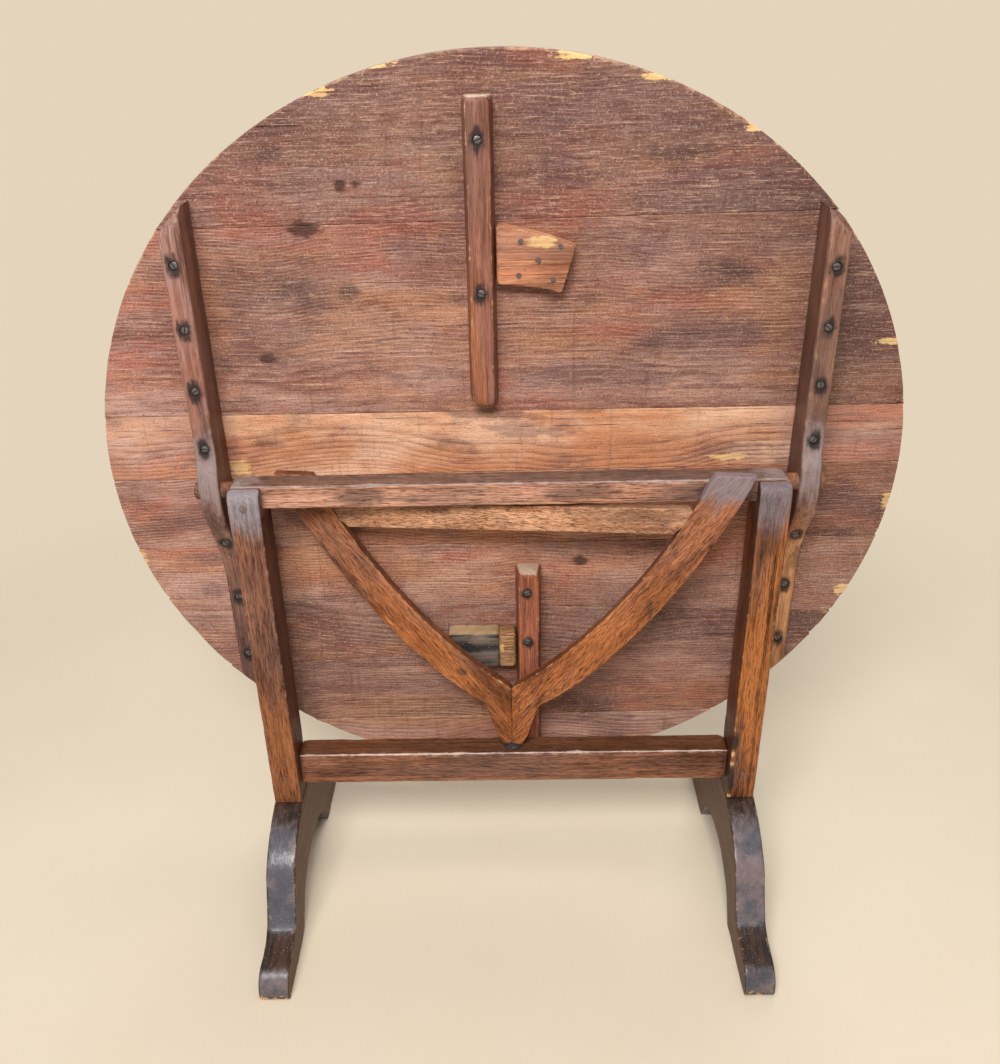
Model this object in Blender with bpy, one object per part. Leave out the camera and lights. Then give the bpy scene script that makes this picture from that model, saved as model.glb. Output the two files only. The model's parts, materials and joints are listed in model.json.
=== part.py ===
"""Tilt-top tasting table, folded: a trestle, a swinging gate and a round boarded top.

Metres, +Z up, +X to the right and +Y away from the viewer. The origin is on the floor,
midway between the toes of the feet and under the middle of the round top.
The pieces are drawn about the trestle's middle and moved over by TRESTLE_X at the end.
"""
import math

import bmesh
import bpy
from mathutils import Matrix, Vector

# Clearances
GAP = 0.0003               # between pieces that touch
WEAR_GAP = 0.0005          # between the gate's right arm and the plate it runs under
SEGMENTS = 20              # sides of a turned piece
ARRIS = 0.0012             # softened edge of a sawn piece
OVERCUT = 0.004            # how far a cutter runs past a face
SHARP_ANGLE = math.radians(32)   # a bend above this is an edge, not part of a round

# Trestle
TRESTLE_X = 0.0065         # the trestle stands this far right of the top's middle
POST_SPAN = 0.688          # outer face to outer face
POST_WIDTH = 0.039
POST_DEPTH = 0.057
POST_CHEEK = 0.0205        # wood left in front of the rail
POST_ROUND = 0.013         # rounded front of the post's head
POST_DIP = 0.001           # post's head below the rail's top
POST_TENON_WIDTH = 0.022
POST_TENON_DEPTH = 0.040
POST_TENON_LENGTH = 0.055

FOOT_WIDTH = 0.041
FOOT_LENGTH = 0.456
FOOT_HEIGHT = 0.166
FOOT_SHOULDER = 0.0015     # flat of the foot past the post
HUMP_HEIGHT = 0.097        # where the hump turns into the heel of the toe
HEEL_RUN = 0.044
TOE_LENGTH = 0.056
TOE_HEIGHT = 0.044
TOE_FALL = 0.004
TOE_ROUND = 0.024
PAD_LENGTH = 0.116         # part of each end that stands on the floor
ARCH_HEIGHT = 0.068

RAIL_BOTTOM = 0.629
RAIL_HEIGHT = 0.031
RAIL_DEPTH = 0.035
RAIL_ROUND = 0.005
STRETCHER_BOTTOM = 0.1857
STRETCHER_HEIGHT = 0.0517
STRETCHER_DEPTH = 0.038
STRETCHER_ROUND = 0.005
STRETCHER_TENON_HEIGHT = 0.036
STRETCHER_TENON_DEPTH = 0.014
STRETCHER_TENON_LENGTH = 0.028
PEG_RADIUS = 0.0048
PEG_PROUD = 0.0008
RAIL_PEG_RISE = 0.011      # above the rail's bottom
RAIL_PEG_BITE = 0.0115     # into the rail
STRETCHER_PEG_BITE = 0.010  # into the post behind the tenon

# Pivot pins of the top
PIVOT_FROM_BACK = 0.0123   # axis to the rail's back face
PIVOT_RISE = 0.0165        # axis above the rail's bottom
SPIGOT_RADIUS = 0.008
SPIGOT_LENGTH = 0.044
PIN_RADIUS = 0.011
PIN_PROUD = 0.0075         # past the batten's outer face

# Gate
GATE_ANGLE = math.radians(6.8)   # right arm turned to the front at rest
ARM_THICKNESS = 0.014
ARM_RISE = 0.014           # right arm's tip above the rail's top
LEFT_ARM_DROP = 0.018      # left arm's tip below the right arm's
ARM_TIP_IN = 0.250
ARM_TIP_OUT = 0.301
VALLEY_RISE = 0.104        # where the arms part, above the stretcher
SHOULDER_RISE = 0.074      # where the arms swell out of the stem, above the stretcher
SHOULDER_HALF = 0.0365
WAIST_RISE = 0.0235
WAIST_HALF = 0.0225
STEM_FOOT_HALF = 0.0145
WASHER_RADIUS = 0.0135
WASHER_THICKNESS = 0.005
CROSSBAR_HEIGHT = 0.036
CROSSBAR_THICKNESS = 0.012
CROSSBAR_DROP = 0.0055     # crossbar's top below the rail, at the middle
CROSSBAR_SLOPE = 0.020     # the crossbar climbs to the right
CROSSBAR_TENON_HEIGHT = 0.020
CROSSBAR_TENON_THICKNESS = 0.006
CROSSBAR_TENON_LENGTH = 0.022
GATE_PEG_RADIUS = 0.0032
GATE_PIN_RADIUS = 0.0045
GATE_PIN_BITE = 0.018      # into the rail and into the stretcher
GATE_PIN_HOLD = 0.022      # into the gate
STEM_DOWEL_RADIUS = 0.003
STEM_DOWEL_LENGTH = 0.030
STEM_DOWEL_RISES = (0.040, 0.076)   # above the stretcher

# Top
TOP_WIDTH = 1.0176         # along the boards
TOP_HEIGHT = 0.9814        # across the boards, which have shrunk
TOP_RISE = 0.004           # top's middle above the pivot axis
TOP_STANDOFF = 0.049       # pivot axis to the boards
BOARD_THICKNESS = 0.024
RIM_STEPS = 120            # facets round the whole rim
# Widths of the boards from the upper rim down, planed to fill the top, and the slope of
# each joint between them
BOARD_WIDTHS = (0.1795, 0.2340, 0.0835, 0.1055, 0.0993, 0.0760, 0.1145, 0.0891)
JOINT_SLOPES = (0.0116, 0.0013, 0.0116, 0.0060, -0.0370, 0.0500, 0.0150)

BATTEN_GAP = 0.0155        # post to batten
BATTEN_WIDTH = 0.026
BATTEN_DEPTH = 0.053       # upper length
BATTEN_LOWER_DEPTH = 0.014
BATTEN_PIVOT_WALL = 0.0037  # wood in front of the pin
BATTEN_END_INSET = 0.010   # from the rim
BATTEN_SWELL_RUN = 0.060   # above the pivot, where the swell dies out
BATTEN_TAPER_RUN = 0.150   # below the pivot, where the taper ends
BATTEN_NOSE = 0.042        # length of the rounded upper end
SCREW_HEAD_RADIUS = 0.0048
SCREW_HEAD_THICKNESS = 0.0025
SCREW_SHANK_RADIUS = 0.0022
SCREW_SINK = 0.0015        # head below the wood
SCREW_BITE = 0.015         # into the boards
SCREW_END_INSET = 0.040
UPPER_SCREWS = 4
UPPER_SCREW_CLEAR = 0.057  # lowest upper screw above the axis
LOWER_SCREWS = 3
LOWER_SCREW_CLEAR = 0.084  # highest lower screw below the axis

BAR_BASE = 0.036
BAR_FACE = 0.026
UPPER_BAR_DEPTH = 0.030
UPPER_BAR_X = -0.028       # middle of its foot
UPPER_BAR_START = 0.0985   # above the axis
UPPER_BAR_INSET = 0.045    # from the rim
UPPER_BAR_SCREWS = (0.044, 0.212)   # below its upper end
LOWER_BAR_X = 0.0245
LOWER_BAR_START = 0.1375   # below the axis
LOWER_BAR_INSET = 0.026
LOWER_BAR_SCREWS = (0.0295, 0.1075)   # below its upper end
LOWER_SCREW_SHIFT = -0.002  # from the bar's middle

PLATE_MARGIN = 0.006       # plate past the arm's tip
PLATE_SWEEP = math.radians(15.5)
PLATE_STEPS = 8
NAIL_HEAD_RADIUS = 0.0028
NAIL_HEAD_THICKNESS = 0.0012
NAIL_RADIUS = 0.0012
NAIL_BITE = 0.012
NAIL_INSET = 0.012         # from the plate's curved edges
NAIL_ANGLES = (math.radians(3.5), math.radians(12.5))
BLOCK_HEIGHT = 0.055
BLOCK_DROP = 0.265         # block's middle below the axis
BLOCK_THICKNESS = 0.026
END_BLOCK_WIDTH = 0.023
WEAR_BLOCK_WIDTH = 0.0695

SIDES = (("left", -1), ("right", 1))

# Finish of each piece, by a word in its name: red, green and blue out of 255, roughness, metallic
FINISHES = {
    "screw": (66, 64, 64, 0.45, 0.9),
    "nail": (58, 54, 52, 0.50, 0.9),
    "washer": (56, 54, 54, 0.50, 0.9),
    "gate_lower_pin": (70, 66, 64, 0.45, 0.9),
    "gate_upper_pin": (70, 66, 64, 0.45, 0.9),
    "pivot_pin": (132, 92, 70, 0.55, 0.0),
    "peg": (124, 88, 70, 0.55, 0.0),
    "dowel": (150, 104, 74, 0.60, 0.0),
    "foot": (80, 62, 56, 0.32, 0.0),
    "left_post": (138, 97, 78, 0.48, 0.0),
    "right_post": (154, 97, 60, 0.45, 0.0),
    "top_rail": (172, 124, 102, 0.50, 0.0),
    "stretcher": (129, 87, 66, 0.42, 0.0),
    "crossbar": (192, 138, 104, 0.52, 0.0),
    "arm": (158, 98, 66, 0.46, 0.0),
    "batten": (154, 112, 97, 0.45, 0.0),
    "upper_stop_bar": (149, 99, 84, 0.50, 0.0),
    "lower_stop_bar": (154, 93, 69, 0.50, 0.0),
    "wear_plate": (190, 131, 104, 0.55, 0.0),
    "wear_block": (92, 80, 72, 0.60, 0.0),
    "end_block": (172, 128, 90, 0.60, 0.0),
    "board_1": (158, 121, 112, 0.65, 0.0),
    "board_2": (165, 118, 106, 0.65, 0.0),
    "board_3": (206, 147, 113, 0.60, 0.0),
    "board_4": (174, 130, 111, 0.65, 0.0),
    "board_5": (173, 128, 106, 0.65, 0.0),
    "board_6": (142, 102, 88, 0.65, 0.0),
    "board_7": (140, 98, 80, 0.65, 0.0),
    "board_8": (176, 130, 104, 0.65, 0.0),
}

# Worked out from the sizes above
POST_OUT = POST_SPAN / 2
POST_IN = POST_OUT - POST_WIDTH
POST_X = POST_OUT - POST_WIDTH / 2
POST_FRONT = -POST_DEPTH / 2
POST_BACK = POST_DEPTH / 2
RAIL_TOP = RAIL_BOTTOM + RAIL_HEIGHT
RAIL_FRONT = POST_FRONT + POST_CHEEK + GAP
RAIL_BACK = RAIL_FRONT + RAIL_DEPTH
STRETCHER_TOP = STRETCHER_BOTTOM + STRETCHER_HEIGHT
STRETCHER_BACK = RAIL_BACK
STRETCHER_FRONT = STRETCHER_BACK - STRETCHER_DEPTH
STRETCHER_Y = (STRETCHER_FRONT + STRETCHER_BACK) / 2
STRETCHER_MID = STRETCHER_BOTTOM + STRETCHER_HEIGHT / 2
PIVOT_Y = RAIL_BACK - PIVOT_FROM_BACK
PIVOT_Z = RAIL_BOTTOM + PIVOT_RISE
GATE_Y = (RAIL_FRONT + RAIL_BACK) / 2
STEM_FOOT = STRETCHER_TOP + WASHER_THICKNESS + 2 * GAP
RIGHT_TIP = RAIL_TOP + ARM_RISE
LEFT_TIP = RIGHT_TIP - LEFT_ARM_DROP
UNDERSIDE = PIVOT_Y + TOP_STANDOFF
TOP_BACK = UNDERSIDE + BOARD_THICKNESS
TOP_Z = PIVOT_Z + TOP_RISE
BATTEN_IN = POST_OUT + BATTEN_GAP
BATTEN_OUT = BATTEN_IN + BATTEN_WIDTH
BATTEN_FRONT = UNDERSIDE - GAP - BATTEN_DEPTH
BATTEN_LOWER_FRONT = UNDERSIDE - GAP - BATTEN_LOWER_DEPTH
BATTEN_PIVOT_FRONT = PIVOT_Y - PIN_RADIUS - GAP - BATTEN_PIVOT_WALL
UPPER_BAR_FACE = UNDERSIDE - GAP - UPPER_BAR_DEPTH
LOWER_BAR_FACE = STRETCHER_BACK + GAP    # folded, the top rests here on the stretcher
LEVEL_UNDERSIDE = PIVOT_Z + TOP_STANDOFF
PLATE_THICKNESS = LEVEL_UNDERSIDE - RIGHT_TIP - WEAR_GAP - GAP


def clear_scene():
    for item in list(bpy.data.objects):
        bpy.data.objects.remove(item, do_unlink=True)


def linear(part):
    """One part of a colour, given out of 255, as the light that a shader takes."""
    share = part / 255
    return share / 12.92 if share <= 0.04045 else ((share + 0.055) / 1.055) ** 2.4


def finish(piece):
    """Gives a piece a material of its own, the first finish with a word of its name."""
    word = next(word for word in FINISHES if word in piece.name)
    red, green, blue, roughness, metallic = FINISHES[word]
    made = bpy.data.materials.new(piece.name + "_finish")
    made.use_nodes = True
    shader = made.node_tree.nodes["Principled BSDF"]
    shader.inputs["Base Color"].default_value = (linear(red), linear(green), linear(blue), 1.0)
    shader.inputs["Roughness"].default_value = roughness
    shader.inputs["Metallic"].default_value = metallic
    piece.data.materials.clear()
    piece.data.materials.append(made)


def bezier(start, pull_start, pull_end, end, steps):
    """Points of a cubic curve after its start point."""
    points = []
    for i in range(1, steps + 1):
        t = i / steps
        s = 1.0 - t
        weights = (s ** 3, 3 * s * s * t, 3 * s * t * t, t ** 3)
        corners = (start, pull_start, pull_end, end)
        points.append(tuple(sum(w * c[k] for w, c in zip(weights, corners)) for k in (0, 1)))
    return points


def blend(low, high, share):
    return low + (high - low) * share


def mirrored(outline):
    """The outline turned over about its second axis, with its direction kept."""
    return [(-a, b) for a, b in reversed(outline)]


def add_prism(bm, outline, low, high, axis):
    """Adds a closed solid with a flat outline that runs from low to high along an axis."""
    place = {"X": lambda a, b, t: (t, a, b),
             "Y": lambda a, b, t: (a, t, b),
             "Z": lambda a, b, t: (a, b, t)}[axis]
    near = [bm.verts.new(place(a, b, low)) for a, b in outline]
    far = [bm.verts.new(place(a, b, high)) for a, b in outline]
    faces = [bm.faces.new(near), bm.faces.new(list(reversed(far)))]
    count = len(outline)
    for i in range(count):
        j = (i + 1) % count
        faces.append(bm.faces.new((near[j], near[i], far[i], far[j])))
    bmesh.ops.recalc_face_normals(bm, faces=faces)


def add_box(bm, low, high):
    (x0, y0, z0), (x1, y1, z1) = low, high
    add_prism(bm, [(x0, y0), (x1, y0), (x1, y1), (x0, y1)], z0, z1, "Z")


def add_turned(bm, profile, origin, direction):
    """Adds a turned solid: profile holds (distance along direction, radius) pairs."""
    along = Vector(direction).normalized()
    side = along.orthogonal().normalized()
    other = along.cross(side)
    rings = []
    for distance, radius in profile:
        centre = Vector(origin) + along * distance
        ring = []
        for i in range(SEGMENTS):
            turn = 2 * math.pi * i / SEGMENTS
            spoke = side * math.cos(turn) + other * math.sin(turn)
            ring.append(bm.verts.new(centre + spoke * radius))
        rings.append(ring)
    faces = [bm.faces.new(list(reversed(rings[0]))), bm.faces.new(rings[-1])]
    for near, far in zip(rings, rings[1:]):
        for i in range(SEGMENTS):
            j = (i + 1) % SEGMENTS
            faces.append(bm.faces.new((near[i], near[j], far[j], far[i])))
    bmesh.ops.recalc_face_normals(bm, faces=faces)


def add_rod(bm, start, end, radius):
    run = Vector(end) - Vector(start)
    add_turned(bm, [(0.0, radius), (run.length, radius)], start, run)


def soften(bm, width):
    """Takes the sharp arrises off a sawn piece."""
    sharp = [edge for edge in bm.edges if edge.calc_face_angle(0.0) > math.radians(35)]
    bmesh.ops.bevel(bm, geom=sharp, offset=width, segments=2, profile=0.5,
                    affect="EDGES", clamp_overlap=True)


def smooth(mesh):
    mesh.shade_smooth()
    mesh.set_sharp_from_angle(angle=SHARP_ANGLE)


def solid(name, bm):
    mesh = bpy.data.meshes.new(name)
    bm.to_mesh(mesh)
    bm.free()
    smooth(mesh)
    made = bpy.data.objects.new(name, mesh)
    bpy.context.collection.objects.link(made)
    return made


def combine(target, bm, operation):
    """Applies one exact boolean with a scratch tool, which is then removed."""
    tool = solid(target.name + "_tool", bm)
    tool.hide_render = True
    tool.display_type = "WIRE"
    change = target.modifiers.new(operation.lower(), "BOOLEAN")
    change.operation = operation
    change.solver = "EXACT"
    change.object = tool
    state = bpy.context.evaluated_depsgraph_get()
    mesh = bpy.data.meshes.new_from_object(target.evaluated_get(state))
    target.modifiers.clear()
    target.data = mesh
    smooth(mesh)
    bpy.data.objects.remove(tool, do_unlink=True)


def cut(target, bm):
    combine(target, bm, "DIFFERENCE")


def unite(target, bm):
    combine(target, bm, "UNION")


def hang(pieces, point):
    """Puts the origin of each moving piece on its joint's axis."""
    shift = Vector(point)
    for piece in pieces:
        piece.data.transform(Matrix.Translation(-shift))
        piece.location = shift


# Trestle

def foot_outline():
    half = FOOT_LENGTH / 2
    toe = half - TOE_LENGTH
    hump = toe - HEEL_RUN
    shoulder = POST_DEPTH / 2 + FOOT_SHOULDER
    side = [(shoulder, FOOT_HEIGHT)]
    side += bezier(side[-1], (blend(shoulder, hump, 0.48), FOOT_HEIGHT - 0.012),
                   (blend(shoulder, hump, 0.88), blend(HUMP_HEIGHT, FOOT_HEIGHT, 0.55)),
                   (hump, HUMP_HEIGHT), 6)
    side += bezier(side[-1], (blend(hump, toe, 0.25), blend(TOE_HEIGHT, HUMP_HEIGHT, 0.5)),
                   (blend(hump, toe, 0.5), TOE_HEIGHT + 0.003), (toe, TOE_HEIGHT), 5)
    nose = TOE_HEIGHT - TOE_FALL
    side.append((half - TOE_ROUND, nose))
    side += bezier(side[-1], (half - TOE_ROUND * 0.35, nose - 0.002),
                   (half, blend(0.0, nose, 0.6)), (half, blend(0.0, nose, 0.15)), 5)
    side.append((half - 0.002, 0.0))
    arch = half - PAD_LENGTH
    side.append((arch, 0.0))
    side += bezier(side[-1], (arch * 0.82, ARCH_HEIGHT * 0.75), (arch * 0.45, ARCH_HEIGHT),
                   (0.0, ARCH_HEIGHT), 7)
    return side + [(-y, z) for y, z in reversed(side[:-1])]


def post_tenon(bm, x, slack):
    add_box(bm,
            (x - POST_TENON_WIDTH / 2 - slack, -POST_TENON_DEPTH / 2 - slack,
             FOOT_HEIGHT + GAP - POST_TENON_LENGTH - slack),
            (x + POST_TENON_WIDTH / 2 + slack, POST_TENON_DEPTH / 2 + slack,
             FOOT_HEIGHT + GAP + OVERCUT))


def stretcher_tenon(bm, side, slack):
    inner = side * (POST_IN - GAP - OVERCUT)
    outer = side * (POST_IN + STRETCHER_TENON_LENGTH + slack)
    half_z = STRETCHER_TENON_HEIGHT / 2 + slack
    half_y = STRETCHER_TENON_DEPTH / 2 + slack
    add_box(bm, (min(inner, outer), STRETCHER_Y - half_y, STRETCHER_MID - half_z),
            (max(inner, outer), STRETCHER_Y + half_y, STRETCHER_MID + half_z))


def rail_peg(bm, side, slack):
    z = RAIL_BOTTOM + RAIL_PEG_RISE
    add_rod(bm, (side * POST_X, POST_FRONT - PEG_PROUD - slack, z),
            (side * POST_X, RAIL_FRONT + RAIL_PEG_BITE + slack, z), PEG_RADIUS + slack)


def stretcher_peg(bm, side, slack):
    back = STRETCHER_Y + STRETCHER_TENON_DEPTH / 2 + STRETCHER_PEG_BITE
    add_rod(bm, (side * POST_X, POST_FRONT - PEG_PROUD - slack, STRETCHER_MID),
            (side * POST_X, back + slack, STRETCHER_MID), PEG_RADIUS + slack)


def make_foot(name, side):
    bm = bmesh.new()
    x = side * POST_X
    add_prism(bm, foot_outline(), x - FOOT_WIDTH / 2, x + FOOT_WIDTH / 2, "X")
    soften(bm, ARRIS)
    foot = solid(name, bm)
    mortise = bmesh.new()
    post_tenon(mortise, x, GAP)
    cut(foot, mortise)
    return foot


def make_post(name, side):
    head = RAIL_TOP - POST_DIP
    base = FOOT_HEIGHT + GAP
    seat = RAIL_BOTTOM - GAP
    cheek = RAIL_FRONT - GAP
    outline = [(POST_FRONT, base), (POST_BACK, base), (POST_BACK, seat), (cheek, seat), (cheek, head)]
    outline.append((POST_FRONT + POST_ROUND, head))
    outline += bezier(outline[-1], (POST_FRONT + POST_ROUND * 0.45, head),
                      (POST_FRONT, head - POST_ROUND * 0.45), (POST_FRONT, head - POST_ROUND), 5)
    bm = bmesh.new()
    x = side * POST_X
    add_prism(bm, outline, x - POST_WIDTH / 2, x + POST_WIDTH / 2, "X")
    soften(bm, ARRIS)
    post = solid(name, bm)
    tenon = bmesh.new()
    post_tenon(tenon, x, 0.0)
    unite(post, tenon)
    holes = bmesh.new()
    stretcher_tenon(holes, side, GAP)
    cut(post, holes)
    pegs = bmesh.new()
    stretcher_peg(pegs, side, GAP)
    rail_peg(pegs, side, GAP)
    cut(post, pegs)
    return post


def beam_outline(front, back, bottom, top, radius):
    """A beam's section with a worn, rounded front arris and a smaller one behind."""
    small = radius * 0.6
    outline = [(front, bottom), (back, bottom), (back, top - small)]
    outline += bezier(outline[-1], (back, top - small * 0.45), (back - small * 0.55, top),
                      (back - small, top), 3)
    outline.append((front + radius, top))
    outline += bezier(outline[-1], (front + radius * 0.45, top), (front, top - radius * 0.45),
                      (front, top - radius), 4)
    return outline


def pivot_pin(bm, side, slack):
    """The turned pin: a spigot in the rail's end, a journal in the batten."""
    start = POST_OUT - SPIGOT_LENGTH - slack
    shoulder = POST_OUT + GAP - slack
    end = BATTEN_OUT + PIN_PROUD
    add_turned(bm, [(0.0, SPIGOT_RADIUS + slack), (shoulder - start, SPIGOT_RADIUS + slack),
                    (shoulder - start, PIN_RADIUS + slack), (end - 0.002 - start, PIN_RADIUS + slack),
                    (end - start, PIN_RADIUS - 0.002 + slack)],
               (side * start, PIVOT_Y, PIVOT_Z), (side, 0.0, 0.0))


def make_rail():
    bm = bmesh.new()
    add_prism(bm, beam_outline(RAIL_FRONT, RAIL_BACK, RAIL_BOTTOM, RAIL_TOP, RAIL_ROUND),
              -POST_OUT, POST_OUT, "X")
    soften(bm, ARRIS)
    rail = solid("top_rail", bm)
    holes = bmesh.new()
    for side in (-1, 1):
        pivot_pin(holes, side, GAP)
        rail_peg(holes, side, GAP)
    add_rod(holes, (0.0, GATE_Y, RAIL_BOTTOM - OVERCUT),
            (0.0, GATE_Y, RAIL_BOTTOM + GATE_PIN_BITE + GAP), GATE_PIN_RADIUS + GAP)
    cut(rail, holes)
    return rail


def make_stretcher():
    bm = bmesh.new()
    add_prism(bm, beam_outline(STRETCHER_FRONT, STRETCHER_BACK, STRETCHER_BOTTOM, STRETCHER_TOP,
                               STRETCHER_ROUND), -POST_IN + GAP, POST_IN - GAP, "X")
    soften(bm, ARRIS)
    stretcher = solid("lower_stretcher", bm)
    for side in (-1, 1):
        tenon = bmesh.new()
        stretcher_tenon(tenon, side, 0.0)
        unite(stretcher, tenon)
    holes = bmesh.new()
    for side in (-1, 1):
        stretcher_peg(holes, side, GAP)
    add_rod(holes, (0.0, GATE_Y, STRETCHER_TOP - GATE_PIN_BITE - GAP),
            (0.0, GATE_Y, STRETCHER_TOP + OVERCUT), GATE_PIN_RADIUS + GAP)
    cut(stretcher, holes)
    return stretcher


def make_washer():
    low = STRETCHER_TOP + GAP
    bm = bmesh.new()
    add_rod(bm, (0.0, GATE_Y, low), (0.0, GATE_Y, low + WASHER_THICKNESS), WASHER_RADIUS)
    washer = solid("gate_washer", bm)
    hole = bmesh.new()
    add_rod(hole, (0.0, GATE_Y, STRETCHER_TOP - OVERCUT), (0.0, GATE_Y, STEM_FOOT + OVERCUT),
            GATE_PIN_RADIUS + GAP)
    cut(washer, hole)
    return washer


def make_trestle():
    for hand, side in SIDES:
        make_foot(hand + "_foot", side)
        make_post(hand + "_post", side)
        pin = bmesh.new()
        pivot_pin(pin, side, 0.0)
        solid(hand + "_pivot_pin", pin)
    make_rail()
    make_stretcher()
    for name, peg in (("rail_peg", rail_peg), ("stretcher_peg", stretcher_peg)):
        for hand, side in SIDES:
            bm = bmesh.new()
            peg(bm, side, 0.0)
            solid("%s_%s" % (hand, name), bm)
    make_washer()


# Gate: drawn flat, with its axis at the origin, then turned and set on the trestle

def arm_edges(tip):
    """The upper and the lower edge of the right arm, as points from the tip to the stem."""
    valley = (0.0, STRETCHER_TOP + VALLEY_RISE)
    shoulder = (SHOULDER_HALF, STRETCHER_TOP + SHOULDER_RISE)
    inner = (ARM_TIP_IN, tip)
    outer = (ARM_TIP_OUT, tip)
    upper = [inner] + bezier(inner, (ARM_TIP_IN * 0.80, blend(valley[1], tip, 0.622)),
                             (ARM_TIP_IN * 0.40, blend(valley[1], tip, 0.204)), valley, 12)
    pull_tip = (blend(SHOULDER_HALF, ARM_TIP_OUT, 0.852), blend(shoulder[1], tip, 0.713))
    pull_stem = (blend(SHOULDER_HALF, ARM_TIP_OUT, 0.430), blend(shoulder[1], tip, 0.203))
    lower = [outer] + bezier(outer, pull_tip, pull_stem, shoulder, 12)
    return upper, lower


def arm_outline(tip):
    upper, lower = arm_edges(tip)
    stem = [(WAIST_HALF, STRETCHER_TOP + WAIST_RISE), (STEM_FOOT_HALF, STEM_FOOT), (GAP / 2, STEM_FOOT)]
    return upper[:-1] + [(GAP / 2, upper[-1][1])] + list(reversed(lower + stem))


def edge_at(edge, height):
    """How far out an arm's edge lies at a height."""
    for (u0, z0), (u1, z1) in zip(edge, edge[1:]):
        if min(z0, z1) <= height <= max(z0, z1):
            return blend(u0, u1, (height - z0) / (z1 - z0))
    return edge[-1][0]


def crossbar_top(u):
    return RAIL_BOTTOM - CROSSBAR_DROP + CROSSBAR_SLOPE * u


def crossbar_end(side, tip):
    """The two corners of the crossbar's end, against the arm's upper edge."""
    upper, _ = arm_edges(tip)
    corners = []
    for drop in (0.0, CROSSBAR_HEIGHT):
        u = edge_at(upper, crossbar_top(0.0) - drop)
        u = edge_at(upper, crossbar_top(side * u) - drop)
        corners.append((side * (u - GAP * 1.5), crossbar_top(side * u) - drop))
    return corners


def crossbar_tenon(bm, side, tip, slack):
    (top_u, top_z), (low_u, low_z) = crossbar_end(side, tip)
    middle = (top_z + low_z) / 2
    half = CROSSBAR_TENON_HEIGHT / 2 + slack
    start = low_u - side * OVERCUT
    end = (top_u + low_u) / 2 + side * (CROSSBAR_TENON_LENGTH + slack)
    wide = CROSSBAR_TENON_THICKNESS / 2 + slack
    add_box(bm, (min(start, end), -wide, middle - half), (max(start, end), wide, middle + half))


def gate_peg(bm, side, tip, slack):
    (top_u, top_z), (low_u, low_z) = crossbar_end(side, tip)
    u = (top_u + low_u) / 2 + side * CROSSBAR_TENON_LENGTH * 0.6
    z = (top_z + low_z) / 2
    half = ARM_THICKNESS / 2 + slack
    add_rod(bm, (u, -half, z), (u, half, z), GATE_PEG_RADIUS + slack)


def lower_gate_pin(bm, slack):
    high = STEM_FOOT + GATE_PIN_HOLD + slack
    add_rod(bm, (0.0, 0.0, STRETCHER_TOP - GATE_PIN_BITE), (0.0, 0.0, high), GATE_PIN_RADIUS + slack)


def upper_gate_pin(bm, slack):
    low = crossbar_top(0.0) - GATE_PIN_HOLD - slack
    add_rod(bm, (0.0, 0.0, low), (0.0, 0.0, RAIL_BOTTOM + GATE_PIN_BITE), GATE_PIN_RADIUS + slack)


def stem_dowel(bm, rise, slack):
    half = STEM_DOWEL_LENGTH / 2 + slack
    z = STRETCHER_TOP + rise
    add_rod(bm, (-half, 0.0, z), (half, 0.0, z), STEM_DOWEL_RADIUS + slack)


def make_arm(name, side, tip):
    outline = arm_outline(tip)
    if side < 0:
        outline = mirrored(outline)
    bm = bmesh.new()
    add_prism(bm, outline, -ARM_THICKNESS / 2, ARM_THICKNESS / 2, "Y")
    soften(bm, ARRIS)
    arm = solid(name, bm)
    mortise = bmesh.new()
    crossbar_tenon(mortise, side, tip, GAP)
    cut(arm, mortise)
    holes = bmesh.new()
    lower_gate_pin(holes, GAP)
    for rise in STEM_DOWEL_RISES:
        stem_dowel(holes, rise, GAP)
    cut(arm, holes)
    pegs = bmesh.new()
    gate_peg(pegs, side, tip, GAP)
    cut(arm, pegs)
    return arm


def make_crossbar():
    left_top, left_low = crossbar_end(-1, LEFT_TIP)
    right_top, right_low = crossbar_end(1, RIGHT_TIP)
    bm = bmesh.new()
    add_prism(bm, [left_low, right_low, right_top, left_top],
              -CROSSBAR_THICKNESS / 2, CROSSBAR_THICKNESS / 2, "Y")
    soften(bm, ARRIS)
    bar = solid("gate_crossbar", bm)
    holes = bmesh.new()
    upper_gate_pin(holes, GAP)
    for side, tip in ((-1, LEFT_TIP), (1, RIGHT_TIP)):
        tenon = bmesh.new()
        crossbar_tenon(tenon, side, tip, 0.0)
        unite(bar, tenon)
        gate_peg(holes, side, tip, GAP)
    cut(bar, holes)
    return bar


def make_gate():
    pieces = [make_crossbar()]
    for (hand, side), tip in zip(SIDES, (LEFT_TIP, RIGHT_TIP)):
        pieces.append(make_arm("gate_%s_arm" % hand, side, tip))
        peg = bmesh.new()
        gate_peg(peg, side, tip, 0.0)
        pieces.append(solid("gate_%s_peg" % hand, peg))
    for name, rise in zip(("lower", "upper"), STEM_DOWEL_RISES):
        dowel = bmesh.new()
        stem_dowel(dowel, rise, 0.0)
        pieces.append(solid("gate_%s_dowel" % name, dowel))
    for name, pin in (("gate_lower_pin", lower_gate_pin), ("gate_upper_pin", upper_gate_pin)):
        bm = bmesh.new()
        pin(bm, 0.0)
        pieces.append(solid(name, bm))
    turned = Matrix.Rotation(-GATE_ANGLE, 4, "Z")
    for piece in pieces:
        piece.data.transform(Matrix.Translation((0.0, GATE_Y, 0.0)) @ turned)
    hang(pieces, (0.0, GATE_Y, STRETCHER_TOP))


# Top

def rim_height(x):
    """How far the rim lies above or below the top's middle, at a place along the boards."""
    share = (x + TRESTLE_X) / (TOP_WIDTH / 2)
    return TOP_HEIGHT / 2 * math.sqrt(max(0.0, 1.0 - share * share))


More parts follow.
